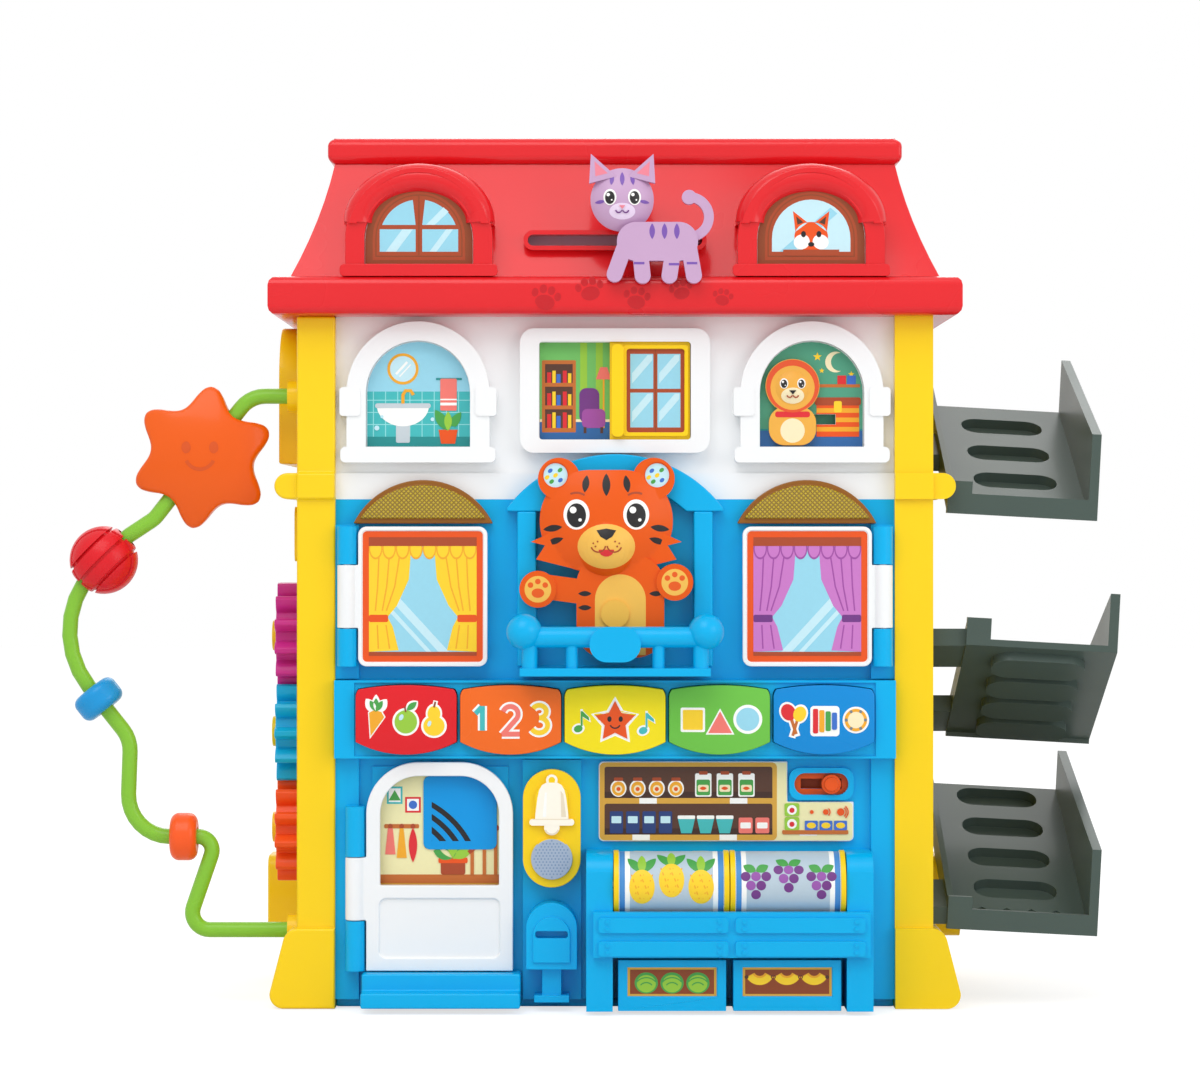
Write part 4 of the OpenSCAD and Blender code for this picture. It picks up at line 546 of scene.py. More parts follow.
def readingRoom():
    tops = (333, 346, 359)
    books = {"red": ((-39, 8), (-30, 9)), "sunYellow": ((-36.4, 9), (-27.4, 7.5)), "royal": ((-33.6, 7),)}
    layers = [
        ("wallGreen", [bar(-43.3, 326.4, 43.3, 382.2)]),
        ("limeGreen", [bar(-20 + 9 * i, 338, -16 + 9 * i, 382.2) for i in range(7)]),
        ("floorBlue", [bar(-43.3, 326.4, 43.3, 336.5)]), ("cream", [bar(-43.3, 336.5, 43.3, 338)]),
        ("wood", [bar(-42, 330.5, -22.5, 372, 0.6)]),
        ("shelfDark", [bar(-40.2, z, -24.3, z + 10.8) for z in tops]),
    ]
    for shift, (ink, row) in enumerate(books.items()):
        layers.append((ink, [bar(x + shift % 2 * 0.4, z, x + 2.3, z + high - i) for i, z in enumerate(tops)
                             for x, high in row]))
    layers += [
        ("gold", [stroke([(-6.5, 333), (-6.5, 362)], 1.0)]),
        ("coral", [[(-11, 361), (-2, 361), (-4.5, 368), (-8.5, 368)]]),
        ("plum", [bar(-20.5, 336, -9, 356, 4)]), ("lilacDeep", [bar(-19, 333, -5.5, 344, 3)]),
        ("shelfDark", [bar(-18, 330, -16.4, 333.5), bar(-8.4, 330, -6.8, 333.5)]),
        ("orange", [disc(24, 331, 14, 3)]), ("gold", [disc(24, 331, 10, 2)]),
        ("brick", [[(20, 333), (28, 333), (29, 342), (19, 342)]]),
        ("leafGreen", [leaf(24, 341, *facts)
                       for facts in ((24, 4, 110), (22, 4, 70), (19, 3.4, 145), (19, 3.4, 35))]),
    ]
    printPicture("reading_card", "picture_cards", layers, flatOn(cardY), step=inkStep / 2)


def slidingPanes():
    spots = [(x, z) for x in (8.8, 24.4) for z in (333.2, 355.4)]
    printPicture("sliding_panes", "window_slider", [
        ("brick", [bar(6.7, 330.4, 39.8, 378.2, 1.6)]), ("woodDark", [bar(23, 330.4, 23.5, 378.2)]),
        ("sky", [bar(x, z, x + 13.2, z + 20) for x, z in spots]),
        ("skyPale", [[(x + a, z + b) for a, b in ((1, 3), (1, 9), (10, 19.4), (12.6, 19.4), (12.6, 16.4))]
                     for x, z in spots])], flatOn(sliderY))


def playRoom():
    moon = around(127, 371, 6, 6, range(60, 301, 12)) + around(129.5, 371, 5.2, 5.2, range(276, 83, -12))
    chest = [(116, 328), (140.5, 328), (140.5, 346), (116, 346),
             (116, 341), (127, 341), (127, 335), (116, 335)]
    printPicture("play_card", "picture_cards", [
        ("nightGreen", [archPane(113, 322.3, 29.6, 382.6), bar(99, 335, 127, 341)]),  # cut open at the slot
        ("floorBlue", [bar(83.5, 322.3, 142.5, 331.5)]),
        ("tealDeep", [bar(83.5, 331.5, 142.5, 332.5)]), ("cream", [moon]),
        ("sunYellow", [star(116.5, 374, 2.6, 1.1), star(136, 364, 1.8, 0.8), star(119, 366, 1.6, 0.7)]),
        ("wood", [bar(112, 356.4, 141, 358.2)]),
        ("red", [bar(128, 358.2, 133, 363.2)]), ("royal", [bar(133.6, 358.2, 138.6, 363.2)]),
        ("orange", [chest]),
        ("gold", [bar(x, z, 140.5, z + 2.6) for x, z in ((116, 331), (127, 336.4), (116, 341.8))]),
        ("brick", [bar(115, 346, 141.5, 350.6, 1.4)]), ("sunYellow", [bar(126, 342, 130.5, 348.5, 1)]),
    ], flatOn(cardY))
    backing = [("nightGreen", [bar(96, 332, 130, 344)])]
    printPicture("slot_backing", "picture_cards", backing, flatOn(slotBackY))


washroom()
readingRoom()
slidingPanes()
playRoom()
print("stage: upper window cards")

# the roof: dormer cards and a trail of prints on the eave
dormerY, eaveY = -115.0, -121.5


def dormerFrame(x):
    return [("woodDark", [archPane(x, 426.2, 30.7, 470.6)]), ("brick", [archPane(x, 428.4, 26.4, 467.4)]),
            ("woodDark", [archPane(x, 430.2, 24.9, 466)]), ("brick", [archPane(x, 430.9, 24.2, 465.3)])]


def dormerCards():
    def quarter(side):  # one upper pane, cut round by the arch
        arc = around(0, 440.6, 22.4, 22.4, range(21, 86, 5))
        return [(-112 + side * x, z) for x, z in [(1.9, 448.5), (20.8, 448.5)] + arc]
    printPicture("left_dormer_card", "picture_cards", dormerFrame(-112) + [
        ("sky", [bar(-134.4, 433.2, -113.9, 446), bar(-110.1, 433.2, -89.6, 446), quarter(-1), quarter(1)]),
        ("skyPale", [[(-131, 433.2), (-125, 433.2), (-115.5, 446), (-121.5, 446)],
                     [(-106, 433.2), (-102, 433.2), (-92.5, 446), (-96.5, 446)],
                     [(-108, 448.5), (-103, 448.5), (-95, 456), (-98, 458.5)]]),
        ("woodDark", [bar(-112.3, 431, -111.7, 465.2)])], flatOn(dormerY))
    printPicture("right_dormer_card", "picture_cards", dormerFrame(112) + [
        ("skyPale", [archPane(112, 433.2, 22.4, 463)]),
        ("sky", [[(94, 433.2), (102, 433.2), (127, 455), (123, 458.4)]]),
        ("orange", [disc(112, 441.8, 9.6, 8.4), [(103, 444.6), (101.6, 456.4), (110, 449.8)],
                    [(121, 444.6), (122.4, 456.4), (114, 449.8)]]),
        ("shelfDark", [[(104.2, 448.6), (103.4, 453.4), (107.6, 450)],
                       [(119.8, 448.6), (120.6, 453.4), (116.4, 450)]]),
        ("paper", [disc(106.6, 438.8, 4.6, 4.2, 20), disc(117.4, 438.8, 4.6, 4.2, -20)]),
        ("black", [disc(107.6, 443.2, 1.4, 1.8), disc(116.4, 443.2, 1.4, 1.8), disc(112, 437.4, 1.8, 1.3)]),
        ("brick", [bar(96, 430.9, 128, 434.4)])], flatOn(dormerY))


hood = {"x": 112.0, "foot": 450.0, "wide": 34.6, "high": 25.4, "tube": 8.6, "y": -111.4, "steps": 36}


def hoodTubes():  # the fat round hoods over the dormer windows
    for side in (-1, 1):
        curve = bpy.data.curves.new("hood", "CURVE")
        curve.dimensions, curve.bevel_depth, curve.bevel_resolution = "3D", hood["tube"] * mm, 6
        curve.use_fill_caps = True
        line = curve.splines.new("POLY")
        line.points.add(hood["steps"])
        for count, spot in enumerate(line.points):
            angle = math.pi * count / hood["steps"]
            spot.co = ((side * hood["x"] + hood["wide"] * math.cos(angle)) * mm, hood["y"] * mm,
                       (hood["foot"] + hood["high"] * math.sin(angle)) * mm, 1)
        newObject("dormer_hood_left" if side < 0 else "dormer_hood_right", curve)
        bpy.ops.object.convert(target="MESH")
        bpy.ops.object.shade_smooth_by_angle(angle=edgeAngle)
        bpy.context.object.data.materials.append(finishes["red"])
        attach(bpy.context.object, bodyOf["dormers"])


def pawTrail():
    pads, toes = [], []
    prints = ((-40, 404, 1.0, -12), (-14, 409, 0.95, 10), (12, 404, 0.9, -8), (38, 409, 0.8, 12),
              (61, 405, 0.7, -10))
    for x, z, size, turn in prints:
        pads.append(disc(x, z, 5.6 * size, 4.2 * size, turn))
        for side, up, wide in ((-6.6, 4.4, 1.9), (-2.4, 7.2, 2.1), (2.4, 7.2, 2.1), (6.6, 4.4, 1.9)):
            toes.append(turned(disc(x + side * size, z + up * size, wide * size, 2.5 * size), x, z, turn))
    printPicture("eave_prints", "roof_shell", [("roofInk", pads + toes)], flatOn(eaveY))


dormerCards()
hoodTubes()
pawTrail()
print("stage: roof pictures")

# the shutters: frame, glass and curtains between these corners, drawn on the right and mirrored on the left
shutter = {"y": -111.0, "frame": (75.6, 198.8, 144.4, 273.7), "glass": (79.2, 202.4, 140.8, 270.1)}


def shutterPicture(name, node, side, cloth, fold, tie):
    left, low, right, top = shutter["glass"]
    def at(*spots): return [(side * x, z) for x, z in spots]
    def box(x0, z0, x1, z1, corner=0.0):
        near, far = sorted((side * x0, side * x1))
        return bar(near, z0, far, z1, corner)
    def drape(inner, outer):  # hangs from the rod, tied back low down
        def out(share): return inner + (outer - inner) * share
        return at((outer, top - 5), (inner, top - 5), (out(0.06), 246), (out(0.34), 231), (out(0.56), 224.5),
                  (out(0.44), 219), (out(0.3), low + 3), (outer, low + 2.2))
    scallops = [disc(side * (left + 3.85 + 7.7 * i), top - 6.4, 3.85, 6.2, 0, 24) for i in range(8)]
    printPicture(name, node, [
        ("orange", [box(*shutter["frame"], 2.6)]), ("sky", [box(left, low, right, top, 1)]),
        ("skyPale", [at((93, low), (99, low), (132, 238), (132, 245)),
                     at((103, low), (106, low), (132, 230.5), (132, 234))]),
        (cloth, [drape(103.5, left), drape(116.5, right)]),
        (fold, [stroke(at((x, top - 9), (x + lean, 242), (x + 2.6 * lean, 228)), 0.8)
                for x, lean in ((85, -0.8), (91, -1.6), (97, -3), (123, 3), (129, 1.6), (135, 0.8))]
         + [stroke(at((x, 220), (x + lean, low + 4)), 0.8)
            for x, lean in ((84, 0.6), (89, 2), (131, -2), (136, -0.6))]),
        (tie, [box(left, 221.6, left + 11, 225.8, 1), box(right - 11, 221.6, right, 225.8, 1)]),
        (fold, scallops), (cloth, [grown(one, -1.1) for one in scallops]),
        ("brick", [box(left, top - 5, right, top), box(left, low, right, low + 2.2)]),
    ], flatOn(shutter["y"]))


shutterPicture("left_shutter_print", "shutter_left", -1, "sunYellow", "gold", "orange")
shutterPicture("right_shutter_print", "shutter_right", 1, "lilac", "lilacDeep", "plum")
print("stage: shutter pictures")

# the key pictures, each drawn about the middle of its key's crown
keys = {"x": (-119.2, -59.6, 0.0, 59.6, 119.2), "z": 166.0, "y": -121.0, "crown": 150.0}


def fruitKey():
    carrot = turned([(-17.5, -9.5), (-13, 3), (-15.4, 5.4), (-19.6, 5.4), (-22, 3)], -17.5, 0, -16)
    apple, pear = disc(0, -1, 6.4, 6.6), [disc(16, -3.4, 6, 5.6), disc(16, 3.6, 3.6, 4.4)]
    greens = [leaf(-17, 5, length, 1.6, turn) for length, turn in ((7, 120), (7.4, 90), (7, 58))]
    return [
        ("paper", [grown(carrot, 1.8), leaf(0, 5, 9, 3, 40)]),
        ("paper", [grown(apple, 1.3), grown(greens[1], 2.2)]),
        ("paper", [grown(pear[0], 1.3)]), ("paper", [grown(pear[1], 1.3), leaf(-17, 4, 10, 3, 126)]),
        ("paper", [leaf(-17, 4, 10, 3, 52), stroke([(16, 6), (17, 11)], 2.6)]),
        ("gold", [carrot]), ("limeGreen", [apple]), ("sunYellow", pear[:1]), ("sunYellow", pear[1:]),
        ("leafGreen", greens[:2] + [leaf(0.6, 5.6, 7.2, 1.7, 40)]), ("leafGreen", greens[2:]),
        ("skyPale", [disc(-2.6, 1.6, 1.2, 1.8, -25), disc(13.4, -2, 1, 1.7, -20)]),
        ("woodDark", [stroke([(16, 7.2), (16.8, 10.4)], 1.0), stroke([(0, 4.6), (-0.6, 7.6)], 0.9)]),
    ]


def numberKey():
    strokes = (
        ("teal", [(-16, -6), (-16, 8)]), ("teal", [(-20, 3.6), (-16.4, 7.4)]),
        ("coral", around(0, 3.4, 4.4, 4.4, range(160, -46, -15)) + [(-4.6, -8.4)]),
        ("coral", [(-4.9, -8), (5.2, -8)]),
        ("sunYellow", around(16.4, 4.8, 4, 3.6, range(150, -91, -15))),
        ("sunYellow", around(16.4, -3, 4.8, 4.3, range(90, -151, -15))))
    return ([("paper", [stroke(line, 5.2)]) for _, line in strokes]
            + [(ink, [stroke(line, 2.8)]) for ink, line in strokes])


def tuneKey():
    def note(x, z):
        return [disc(x, z, 2.5, 2, 20), bar(x + 1.4, z + 1.6, x + 2.5, z + 10),
                [(x + 2.5, z + 10), (x + 6, z + 6.6), (x + 6.4, z + 4.6), (x + 2.5, z + 7)]]
    layers = [("paper", [star(0, -1, 14.4, 8)])]
    for ink, shapes in (("leafGreen", note(-21, -5)), ("teal", note(16, -6))):
        layers += [("paper", [grown(shape, 1.2)]) for shape in shapes] + [(ink, [shape]) for shape in shapes]
    return layers + [("orange", [star(0, -1, 12, 6.2)]), ("black", [
        disc(-3.2, 0.6, 1.2, 1.6), disc(3.2, 0.6, 1.2, 1.6), ribbon(0, -1.6, 3.4, 0.8, 205, 335)])]


def shapeKey():
    shapes = (("sunYellow", bar(-21, -5.6, -9.6, 5.8, 0.8)), ("coral", [(-6.6, -7.4), (7, -7.4), (0.2, 5)]),
              ("sky", disc(16, 0.4, 6.6)))
    return [("paper", [grown(shape, 1.7) for _, shape in shapes])] + [(ink, [shape]) for ink, shape in shapes]


def bandKey():
    bars = [bar(-6.5 + 3.6 * i, -7.6 + 0.7 * i, -3.6 + 3.6 * i, 6.4 - 0.7 * i, 0.8) for i in range(4)]
    shakers = [disc(-20.5, 4.4, 4, 4.8, 24), disc(-14, 3.4, 3.6, 4.4, -20)]
    grips = [stroke([(-18.8, 0.6), (-16, -8)], 1.8), stroke([(-15.4, 0), (-18, -9)], 1.6)]
    return [
        ("paper", [grown(shakers[0], 1.2)]), ("paper", [grown(shakers[1], 1.2), bar(-8, -9.2, 8.6, 8, 2)]),
        ("paper", [stroke([(-18.8, 0.6), (-15.6, -9.4)], 4)]), ("paper", [disc(18, 0, 7.6)]),
        ("paper", [stroke([(-15.4, 0), (-18.4, -10)], 3.8)]), ("wood", grips[:1]), ("wood", grips[1:]),
        ("red", shakers[:1]), ("sunYellow", shakers[1:]), ("red", bars[:1]), ("gold", bars[1:2]),
        ("leafGreen", bars[2:3]), ("royal", bars[3:]), ("gold", [disc(18, 0, 6.4)]),
        ("cream", [disc(18, 0, 4.7)]),
        ("greyInk", [disc(*spot, 0.9) for spot in around(18, 0, 5.5, 5.5, range(0, 360, 60))]),
    ]


for count, (x, picture) in enumerate(zip(keys["x"], (fruitKey, numberKey, tuneKey, shapeKey, bandKey)), 1):
    crown = crownOn(x, keys["z"], keys["y"], keys["crown"])
    printPicture("key_%d_print" % count, "key_%d" % count, picture(), shifted(x, keys["z"], crown), cuts=2)
print("stage: key pictures")

# the bell key and the view behind the door
finishes["lensRim"] = mouldedPlastic("plastic_lens_rim", (146, 92, 30), 0.30, 0.10)
bell = {"x": -36.1, "rim": 105.5, "reliefY": -116.8, "front": -114.5, "middle": 95.0,
        "mesh": 86.5, "meshY": -116.3, "pitch": 2.0, "reach": 10.4}
volume = {"x": 118.5, "z": 128.5, "halfWide": 15.4, "halfHigh": 6.2, "front": -101.5, "back": -99.5}
lensRimY = -107.4
tinted("bell_key", finishes["discSteelBlue"], lambda x, y, z: y < bell["front"] and z < bell["middle"])
tinted("lower_front", finishes["knobOrange"], lambda x, y, z: abs(x - volume["x"]) < volume["halfWide"]
       and abs(z - volume["z"]) < volume["halfHigh"] and volume["front"] < y < volume["back"])
tinted("amber_lenses", finishes["lensRim"], lambda x, y, z: y > lensRimY)


def bellPicture():  # drawn about the middle of the bell's rim, with painted shade down its right side, along the rim and on the clapper, and a painted highlight down its left side
    half = [(3.2, 24.6), (5.6, 23.2), (7.2, 20.4), (8.2, 16), (8.8, 11), (9.4, 6.6), (9.5, 3.6)]
    printPicture("bell_print", "bell_key", [
        ("bellCream", [half + [(-x, z) for x, z in reversed(half)], disc(0, -1, 4.4)]),
        # painted shade: a band down the bell's right side and along the clapper's lower edge
        ("bellPaintedShade", [[(5.4, 5), (8.2, 5), (6.6, 18), (5, 20)], ribbon(0, -1, 4.4, 1.0, 200, 340)]),
        # painted highlight: a pale stroke down the bell's left side
        ("paper", [[(-5.2, 5), (-3.2, 5), (-2.8, 19), (-4, 19)]]),
        ("bellCream", [bar(-12.8, 0.1, 12.8, 3.9, 1.8), ribbon(0, 26, 3.3, 1.4, -35, 215)]),
        # painted shade: a thin line along the rim's top edge, under the bell
        ("bellPaintedShade", [stroke([(-11, 3.7), (11, 3.7)], 0.5)]),
    ], shifted(bell["x"], bell["rim"], flatOn(bell["reliefY"])))
    pitch = bell["pitch"]
    dots = [(i * pitch + j % 2 * pitch / 2, j * pitch * 0.866) for i in range(-6, 7) for j in range(-6, 7)]
    printPicture("bell_dots", "bell_key", [
        ("dotBlue", [disc(*spot, 0.5, count=8) for spot in dots if math.hypot(*spot) < bell["reach"]])],
        shifted(bell["x"], bell["mesh"], flatOn(bell["meshY"])))


bellPicture()
doorCardY, boardY = -102.6, -90.0


def shouldered(left, low, right, top, corner):  # square foot, round shoulders
    arcs = [spot for x, a in ((right - corner, 0), (left + corner, 90))
            for spot in around(x, top - corner, corner, corner, range(a, a + 91, 9))]
    return [(left, low), (right, low)] + arcs


def hallView():
    def framed(x, z, wide, high, rim):
        return [(rim, [bar(x, z, x + wide, z + high)]),
                ("paper", [bar(x + 1.1, z + 1.1, x + wide - 1.1, z + high - 1.1)])]
    printPicture("hall_card", "picture_cards", [
        ("hallCream", [shouldered(-139.2, 25.2, -61.6, 138.2, 26.8)]),
        ("shelfTan", [bar(-139.2, 25.2, -61.6, 72)]),
        ("wood", [bar(-139.2, 71.5, -61.6, 76.5)]),
    ] + framed(-131, 117, 9, 10, "teal") + framed(-120.5, 112, 9, 9, "red") + [
        ("leafGreen", [[(-130, 119), (-123, 119), (-126.5, 125)]]), ("royal", [disc(-116, 116.5, 2.4)]),
        ("wood", [bar(-132.5, 103, -112.5, 105.4, 0.8)]),
        ("brick", [disc(-129, 104.2, 1.4), disc(-122.5, 104.2, 1.4), disc(-116, 104.2, 1.4)]),
        ("coral", [[(-132, 88), (-126, 88), (-127.6, 103), (-130.4, 103)]]),
        ("gold", [[(-125.4, 86), (-119.6, 86), (-121.4, 103), (-123.6, 103)]]),
        ("red", [leaf(-116, 103.4, 20, 2.4, 270)]),
        ("brick", [bar(-100, 76.5, -86, 84, 1.2)]), ("orange", [bar(-101.4, 83, -84.6, 86.2, 1)]),
        ("leafGreen", [leaf(-93, 86, 15, 3.4, 125), leaf(-93, 86, 15, 3.4, 58), leaf(-93, 86, 12, 3, 160)]),
        ("limeGreen", [leaf(-93, 86, 16, 3.2, 92), leaf(-93, 86, 12, 2.8, 25)]),
        ("wood", [bar(-83, 76.5, -81, 90), bar(-76, 76.5, -74, 96), bar(-69.5, 76.5, -67.5, 102)]),
        ("brick", [stroke([(-84, 89), (-66.6, 104)], 2.4)]), ("black", [bar(-109.6, 91.4, -68.2, 132.6, 2)]),
    ], flatOn(doorCardY))


hallView()
volumeFilm = [("orange", [bar(101, 120.5, 136, 136.5, 2)])]
printPicture("volume_film", "circuit_boards", volumeFilm, flatOn(boardY))
print("stage: bell and hall")

# the stall: shelf picture, rollers and produce boxes
shelfY, boxY, drumY, drumZ, rollerRim, drumR = -103.0, -134.0, -121.0, 72.0, 3.0, 19.2
rollerEnds = {"roller_left": (-0.9, 64.5), "roller_right": (65.0, 130.5)}
drumBands = (("bandBlue", 3.1), ("paper", 6.4), ("drumGrey", 9.2))  # ink, distance from the roller's ends
drumSides, fruitTurns, fruitLift = 96, (14, 134, 254), 0.1


def shelfPicture():
    def row(x, z, count, pitch, wide, high, corner=1.0):
        return [bar(x + i * pitch, z, x + i * pitch + wide, z + high, corner) for i in range(count)]
    tagSpots = ((14, 117.2), (66, 117.2), (10, 96.2), (60, 96.2), (106, 98.8))
    jars = [2 + 11 * i for i in range(4)]
    printPicture("shelf_print", "shelf_panel", [
        ("hallCream", [bar(-8.8, 96.1, 136.4, 118, 2.4)]), ("hallCream", [bar(84, 117, 98.6, 140.8)]),
        ("shelfTan", [bar(-8.8, 96.1, 93, 140.9, 3)]),
        ("shelfDark", [bar(-6, 120.4, 90.4, 138.4, 1.4), bar(-6, 99.4, 90.4, 117.2, 1.4)]),
        ("bayShade", [bar(-6, 120.4, 90.4, 124), bar(-6, 99.4, 90.4, 103)]),
        ("paper", [bar(x, z, x + 10, z + 3.2) for x, z in tagSpots]),
        ("paper", [disc(x, 126, 4.6, 4.9) for x in jars] + row(46, 121.2, 3, 12.4, 9.4, 13.4)),
        ("gold", [disc(x, 125.8, 3.8, 4.1) for x in jars]), ("leafGreen", row(46.8, 122, 3, 12.4, 7.8, 9)),
        ("brick", row(-0.6, 130.2, 4, 11, 5.2, 2, 0.6) + row(48.2, 133.8, 3, 12.4, 5, 2, 0.6)),
        ("cream", [disc(x, 125.6, 2.2) for x in jars] + row(47.6, 124, 3, 12.4, 6.2, 4)),
        ("orange", [disc(x, 125.6, 1.2) for x in jars] + [leaf(x, 126, 4, 1, 0) for x in (48.6, 61, 73.4)]),
        ("navy", row(-3, 100.2, 4, 9.4, 7.6, 12.6, 0.8)), ("skyPale", row(-2, 106, 4, 9.4, 5.6, 4, 0.4)),
        ("teal", [[(x, 109), (x + 10, 109), (x + 8, 100.2), (x + 2, 100.2)] for x in (36, 47, 58)]),
        ("paper", row(36, 108.4, 3, 11, 10, 2, 0.6)),
        ("coral", row(71, 100.2, 2, 9.6, 8, 9)), ("paper", row(72, 103, 2, 9.6, 6, 3.4, 0.6)),
        ("wood", [bar(96, 99.6, 134, 102, 0.8)]),
        ("limeGreen", row(97.4, 102, 1, 9, 8.4, 7.4) + row(97.4, 110, 1, 9, 8.4, 7.4)),
        ("paper", [disc(101.6, z, 2.8) for z in (105.6, 113.6)]),
        ("red", [disc(101.6, z, 1.5) for z in (105.4, 113.4)]),
        ("royal", row(109, 102, 3, 8.4, 7.4, 5.4, 0.5)),
        ("sunYellow", [disc(x, 104.7, 2.6, 1.7) for x in (112.7, 121.1, 129.5)]),
        ("orange", [disc(113, 112.4, 1.1), disc(121, 112.4, 1.6), disc(129.6, 112.4, 2.1)]),
        ("orange", [ribbon(121, 112.4, 2.8, 0.6, -50, 50), ribbon(129.6, 112.4, 3.4, 0.6, -50, 50),
                    ribbon(129.6, 112.4, 4.6, 0.6, -50, 50)]),
    ], flatOn(shelfY))


def drumBand(name, node, ink, left, right, lift):
    bpy.ops.mesh.primitive_cylinder_add(
        vertices=drumSides, radius=(drumR + lift) * mm, depth=(right - left) * mm, end_fill_type="NOTHING",
        rotation=(0, math.pi / 2, 0), location=((left + right) / 2 * mm, drumY * mm, drumZ * mm))
    bpy.ops.object.transform_apply(location=True, rotation=True)
    bpy.ops.object.shade_smooth()
    band = bpy.context.object
    band.name = name
    band.data.materials.append(inkFinish[ink])
    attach(band, bodyOf[node])


def pineapples(x):
    spots = ((x + 16, 68), (x + 32.7, 72), (x + 49.4, 68))
    def seams(way): return [stroke([(a + way * k, b - 7), (a + way * (k + d), b + 7)], 0.7)
                            for a, b in spots for k, d in ((-5, 6), (1, 5))]
    return [("leafGreen", [leaf(a, b + 8, 13, 2.6, turn) for a, b in spots for turn in (128, 52)]),
            ("limeGreen", [leaf(a, b + 7, 14, 2.4, 90) for a, b in spots]),
            ("sunYellow", [disc(a, b, 7.2, 10) for a, b in spots]), ("gold", seams(1)), ("gold", seams(-1))]


def grapes(x):
    deep, pale, stems = [], [], []
    for a, b in ((x + 14.5, 74), (x + 33, 78), (x + 51.5, 74)):
        for line, count in enumerate((3, 2, 1)):
            for i in range(count):
                berry = disc(a + 5.8 * (i - (count - 1) / 2), b - 5.2 * line, 2.75)
                (pale if (line + i) % 2 else deep).append(berry)
        stems += [leaf(a, b + 3, 8, 2.6, turn) for turn in (152, 28)]
    return [("plum", deep), ("grapePale", pale), ("leafGreen", stems)]


def dressRollers():
    for node, fruits in (("roller_left", pineapples), ("roller_right", grapes)):
        left, right = rollerEnds[node]
        tinted(node, finishes["yellow"], lambda x, y, z: x < left + rollerRim or x > right - rollerRim)
        for count, (ink, inset) in enumerate(drumBands, 1):
            drumBand(node + "_band_%d" % count, node, ink, left + inset, right - inset, inkStep * count)
        for turn in fruitTurns:
            drum = drumOn(drumY, drumZ, drumR + fruitLift, turn)
            printPicture(node + "_fruit_%d" % turn, node, fruits(left), drum, cuts=3)


def boxPictures():
    def crate(x):
        return [("shelfTan", [bar(x + 0.2, 10.2, x + 51, 26.8)]),
                ("woodDark", [bar(x + 1.8, 11.6, x + 49.4, 25.4)])]
    greens, fruit = 6.6, 71.8
    heads = [(greens + 11 + 14.6 * i, 17.8) for i in range(3)]
    printPicture("box_of_greens", "produce_boxes", crate(greens) + [
        ("leafGreen", [disc(x, z, 6.6, 6) for x, z in heads]),
        ("limeGreen", [disc(x, z - 0.4, 5.4, 4.9) for x, z in heads]),
        ("leafGreen", [ribbon(x, z - 4, reach, 0.7, 40, 140) for x, z in heads for reach in (7.4, 4.6)]),
    ], flatOn(boxY))
    bunch = [(fruit + 10 + 15.4 * i, 25.2) for i in range(3)]
    printPicture("box_of_bananas", "produce_boxes", crate(fruit) + [
        ("gold", [ribbon(x, z, 8.6, 5.2, 208, 332) for x, z in bunch]),
        ("sunYellow", [ribbon(x, z, 8.4, 3.8, 212, 328) for x, z in bunch]),
        ("shelfDark", [disc(x + side * 7.4, z - 4, 1.1) for x, z in bunch for side in (-1, 1)]),
    ], flatOn(boxY))


shelfPicture()
dressRollers()
boxPictures()
print("stage: stall pictures")

# the figures' faces and fur; faces are drawn about the middle of a dome: x, z, front y, radius
domes = {"tigerHead": (-5.0, 279.5, -125.5, 75.0), "tigerMuzzle": (-5.0, 266.5, -129.0, 22.0),
         "catHead": (4.0, 462.0, -132.3, 24.0), "cubHead": (102.0, 356.0, -105.5, 18.0),
         "sun": (-239.4, 317.0, -93.1, 90.0)}
earFloorY, chestY, pawY, catBodyY, catEarY, cubBodyY = -116.3, -119.0, -120.5, -130.3, -128.3, -102.5
finishes["furCream"] = mouldedPlastic("plastic_fur_cream", (242, 188, 80), 0.36, 0.05)
domeStep, noseLift = 0.1, 0.2
tigerHub = {"z": 226.5, "reach": 8.3, "front": -119.2}


def domed(name, raised=0.0):
    x, z, y, radius = domes[name]
    return shifted(x, z, crownOn(x, z, y - raised, radius))


def eyes(apart, up, wide, high):  # white, pupil, two lights
    spots = ((-apart, up), (apart, up))
    return [("paper", [disc(x, z, wide, high) for x, z in spots]),
            ("black", [disc(x, z - 0.06 * high, wide * 0.74, high * 0.8) for x, z in spots]),
            ("paper", [disc(x - wide * 0.26, z + high * 0.3, wide * 0.26) for x, z in spots]
             + [disc(x + wide * 0.28, z - high * 0.36, wide * 0.13) for x, z in spots])]


def smile(half, up):
    return [ribbon(side * half, up, half, 0.6, 190, 350) for side in (-1, 1)]


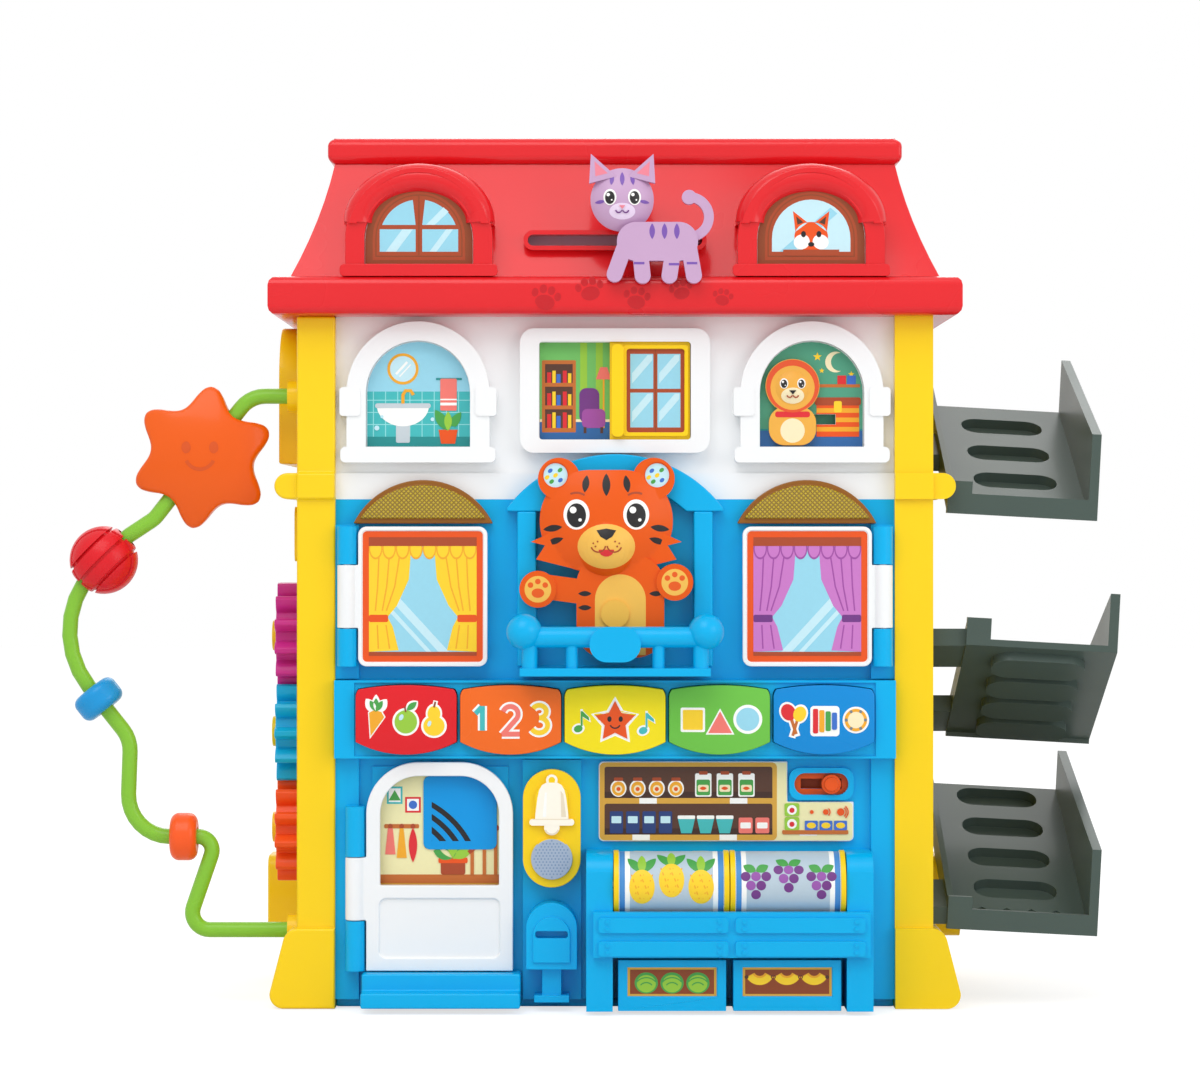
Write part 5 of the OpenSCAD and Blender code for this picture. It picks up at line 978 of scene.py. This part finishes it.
def dressTiger():
    head, muzzle = domes["tigerHead"], domes["tigerMuzzle"]
    tinted("tiger", finishes["furCream"],
           lambda x, y, z: math.hypot(x, z - tigerHub["z"]) < tigerHub["reach"] and y < tigerHub["front"])
    stripes = [leaf(0, 27, 13, 2.3, 270), leaf(-11, 26, 10, 2, 262), leaf(11, 26, 10, 2, 278),
               leaf(-36, -5, 11, 1.9, 8), leaf(-34, -13, 10, 1.8, 18),
               leaf(36, -5, 11, 1.9, 172), leaf(34, -13, 10, 1.8, 162)]
    brows = [ribbon(-17, 8, 8.6, 1.1, 55, 115), ribbon(17, 8, 8.6, 1.1, 65, 125)]
    printPicture("tiger_face", "tiger", [("black", stripes)] + eyes(17, 3.6, 7.4, 8.6) + [("brick", brows)],
                 domed("tigerHead"), 3)
    printPicture("tiger_muzzle", "tiger", [("furCream", [disc(0, -1.6, 16.4, 12.8)])],
                 shifted(*muzzle[:2], frontOf(crownOn(*head), crownOn(*muzzle))), 10, domeStep)
    printPicture("tiger_nose", "tiger", [
        ("black", [[(-5.6, 7.6), (0, 8.6), (5.6, 7.6), (3.4, 4), (0, 2), (-3.4, 4)]]),
        ("red", [around(0, -3.4, 4.4, 4, range(180, 361, 15))]),
        ("brick", [ribbon(-4.6, -0.6, 4.6, 0.8, 200, 350), ribbon(4.6, -0.6, 4.6, 0.8, 190, 340)]),
        ("brick", [disc(side * x, z, 0.5) for side in (-1, 1)
                   for x, z in ((5, 1.2), (7.4, 0.2), (6.2, -1.6))]),
    ], domed("tigerMuzzle", noseLift), 6)
    ears = ((-29, 26), (29, 26))
    flecks = {"royal": ((-3, 2.6), (2.8, -2.8)), "leafGreen": ((2.6, 3), (-2.2, -3.6)),
              "sunYellow": ((0, 0), (-4.8, -1.2))}
    printPicture("tiger_ears", "tiger", [("skyPale", [disc(x, z, 6.9) for x, z in ears])] + [
        (ink, [disc(x + a, z + b, 1.5, 1.1, 40) for x, z in ears for a, b in spots])
        for ink, spots in flecks.items()], shifted(*head[:2], flatOn(earFloorY)))
    printPicture("tiger_belly", "tiger", [
        ("furCream", [archPane(3, 203, 14.5, 249)]),
        ("black", [leaf(-21, 238, 7.5, 1.5, 0), leaf(-21, 230, 7.5, 1.5, 0), leaf(27, 238, 7.5, 1.5, 180)])],
        flatOn(chestY))
    paws = ((-44, 240.5), (34, 244.5))
    printPicture("tiger_paws", "tiger", [
        ("furCream", [disc(x, z, 7.6) for x, z in paws]),
        ("tigerInk", [disc(x, z - 2.2, 3.6, 2.7) for x, z in paws] + [
            disc(x + a, z + b, 1.6) for x, z in paws for a, b in ((-4.2, 2.4), (0, 4.4), (4.2, 2.4))])],
        flatOn(pawY))


def dressCat():
    printPicture("cat_face", "cat", [
        ("catPale", [disc(0, -7, 7.4, 4.6)]),
        ("catInk", [leaf(0, 15.6, 8, 1.3, 270), leaf(-5.4, 14.6, 6.6, 1.2, 262),
                    leaf(5.4, 14.6, 6.6, 1.2, 278), leaf(-15.6, -2, 6, 1, 8),
                    leaf(15.6, -2, 6, 1, 172)])] + eyes(7, 1, 3.7, 4.6) + [
        ("pink", [[(-1.7, -3.8), (1.7, -3.8), (0, -5.8)]]), ("plum", smile(2, -6.2))],
        domed("catHead"), 5, domeStep)
    ears = [turned([(x - 3.6, 14), (x + 3.6, 14), (tip, 22.4)], x, 11, lean)
            for x, tip, lean in ((-11, -13, 14), (11, 13, -14))]
    printPicture("cat_ears", "cat", [("pink", ears)], shifted(*domes["catHead"][:2], flatOn(catEarY)))
    socks = [stroke([(x - 3, z), (x + 3, z)], 1.4) for x, z in ((13.6, 425.6), (33.4, 425), (43.6, 425.6))]
    printPicture("cat_coat", "cat", [("catInk", [leaf(x, 448.2, 9, 1.6, 270) for x in (21, 28, 35)] + socks)],
                 flatOn(catBodyY))


def dressCub():
    printPicture("cub_face", "peek_figure", [("cream", [disc(0, -4.6, 6.6, 4.6)])] + eyes(5, 2.4, 2.4, 3) + [
        ("black", [[(-2, -1.6), (2, -1.6), (0, -4)]]), ("brick", smile(1.8, -4.2))],
        domed("cubHead"), 5, domeStep)
    printPicture("cub_belly", "peek_figure", [
        ("cream", [disc(0, -24.6, 7)]), ("red", [bar(-10, -17, 10, -13.6, 1.4)]),
        ("cubMane", [disc(0, 1, 15.2), disc(0, 0, 12.7)])],
        shifted(*domes["cubHead"][:2], flatOn(cubBodyY)))


def dressSun():
    printPicture("sun_face", "sun", [
        ("sunInk", [disc(-8, 5, 2.6, 3.4), disc(8, 5, 2.6, 3.4), ribbon(0, 1, 9.6, 2, 205, 335)])],
        domed("sun"), 3)


dressTiger()
dressCat()
dressCub()
dressSun()
print("stage: figures dressed")
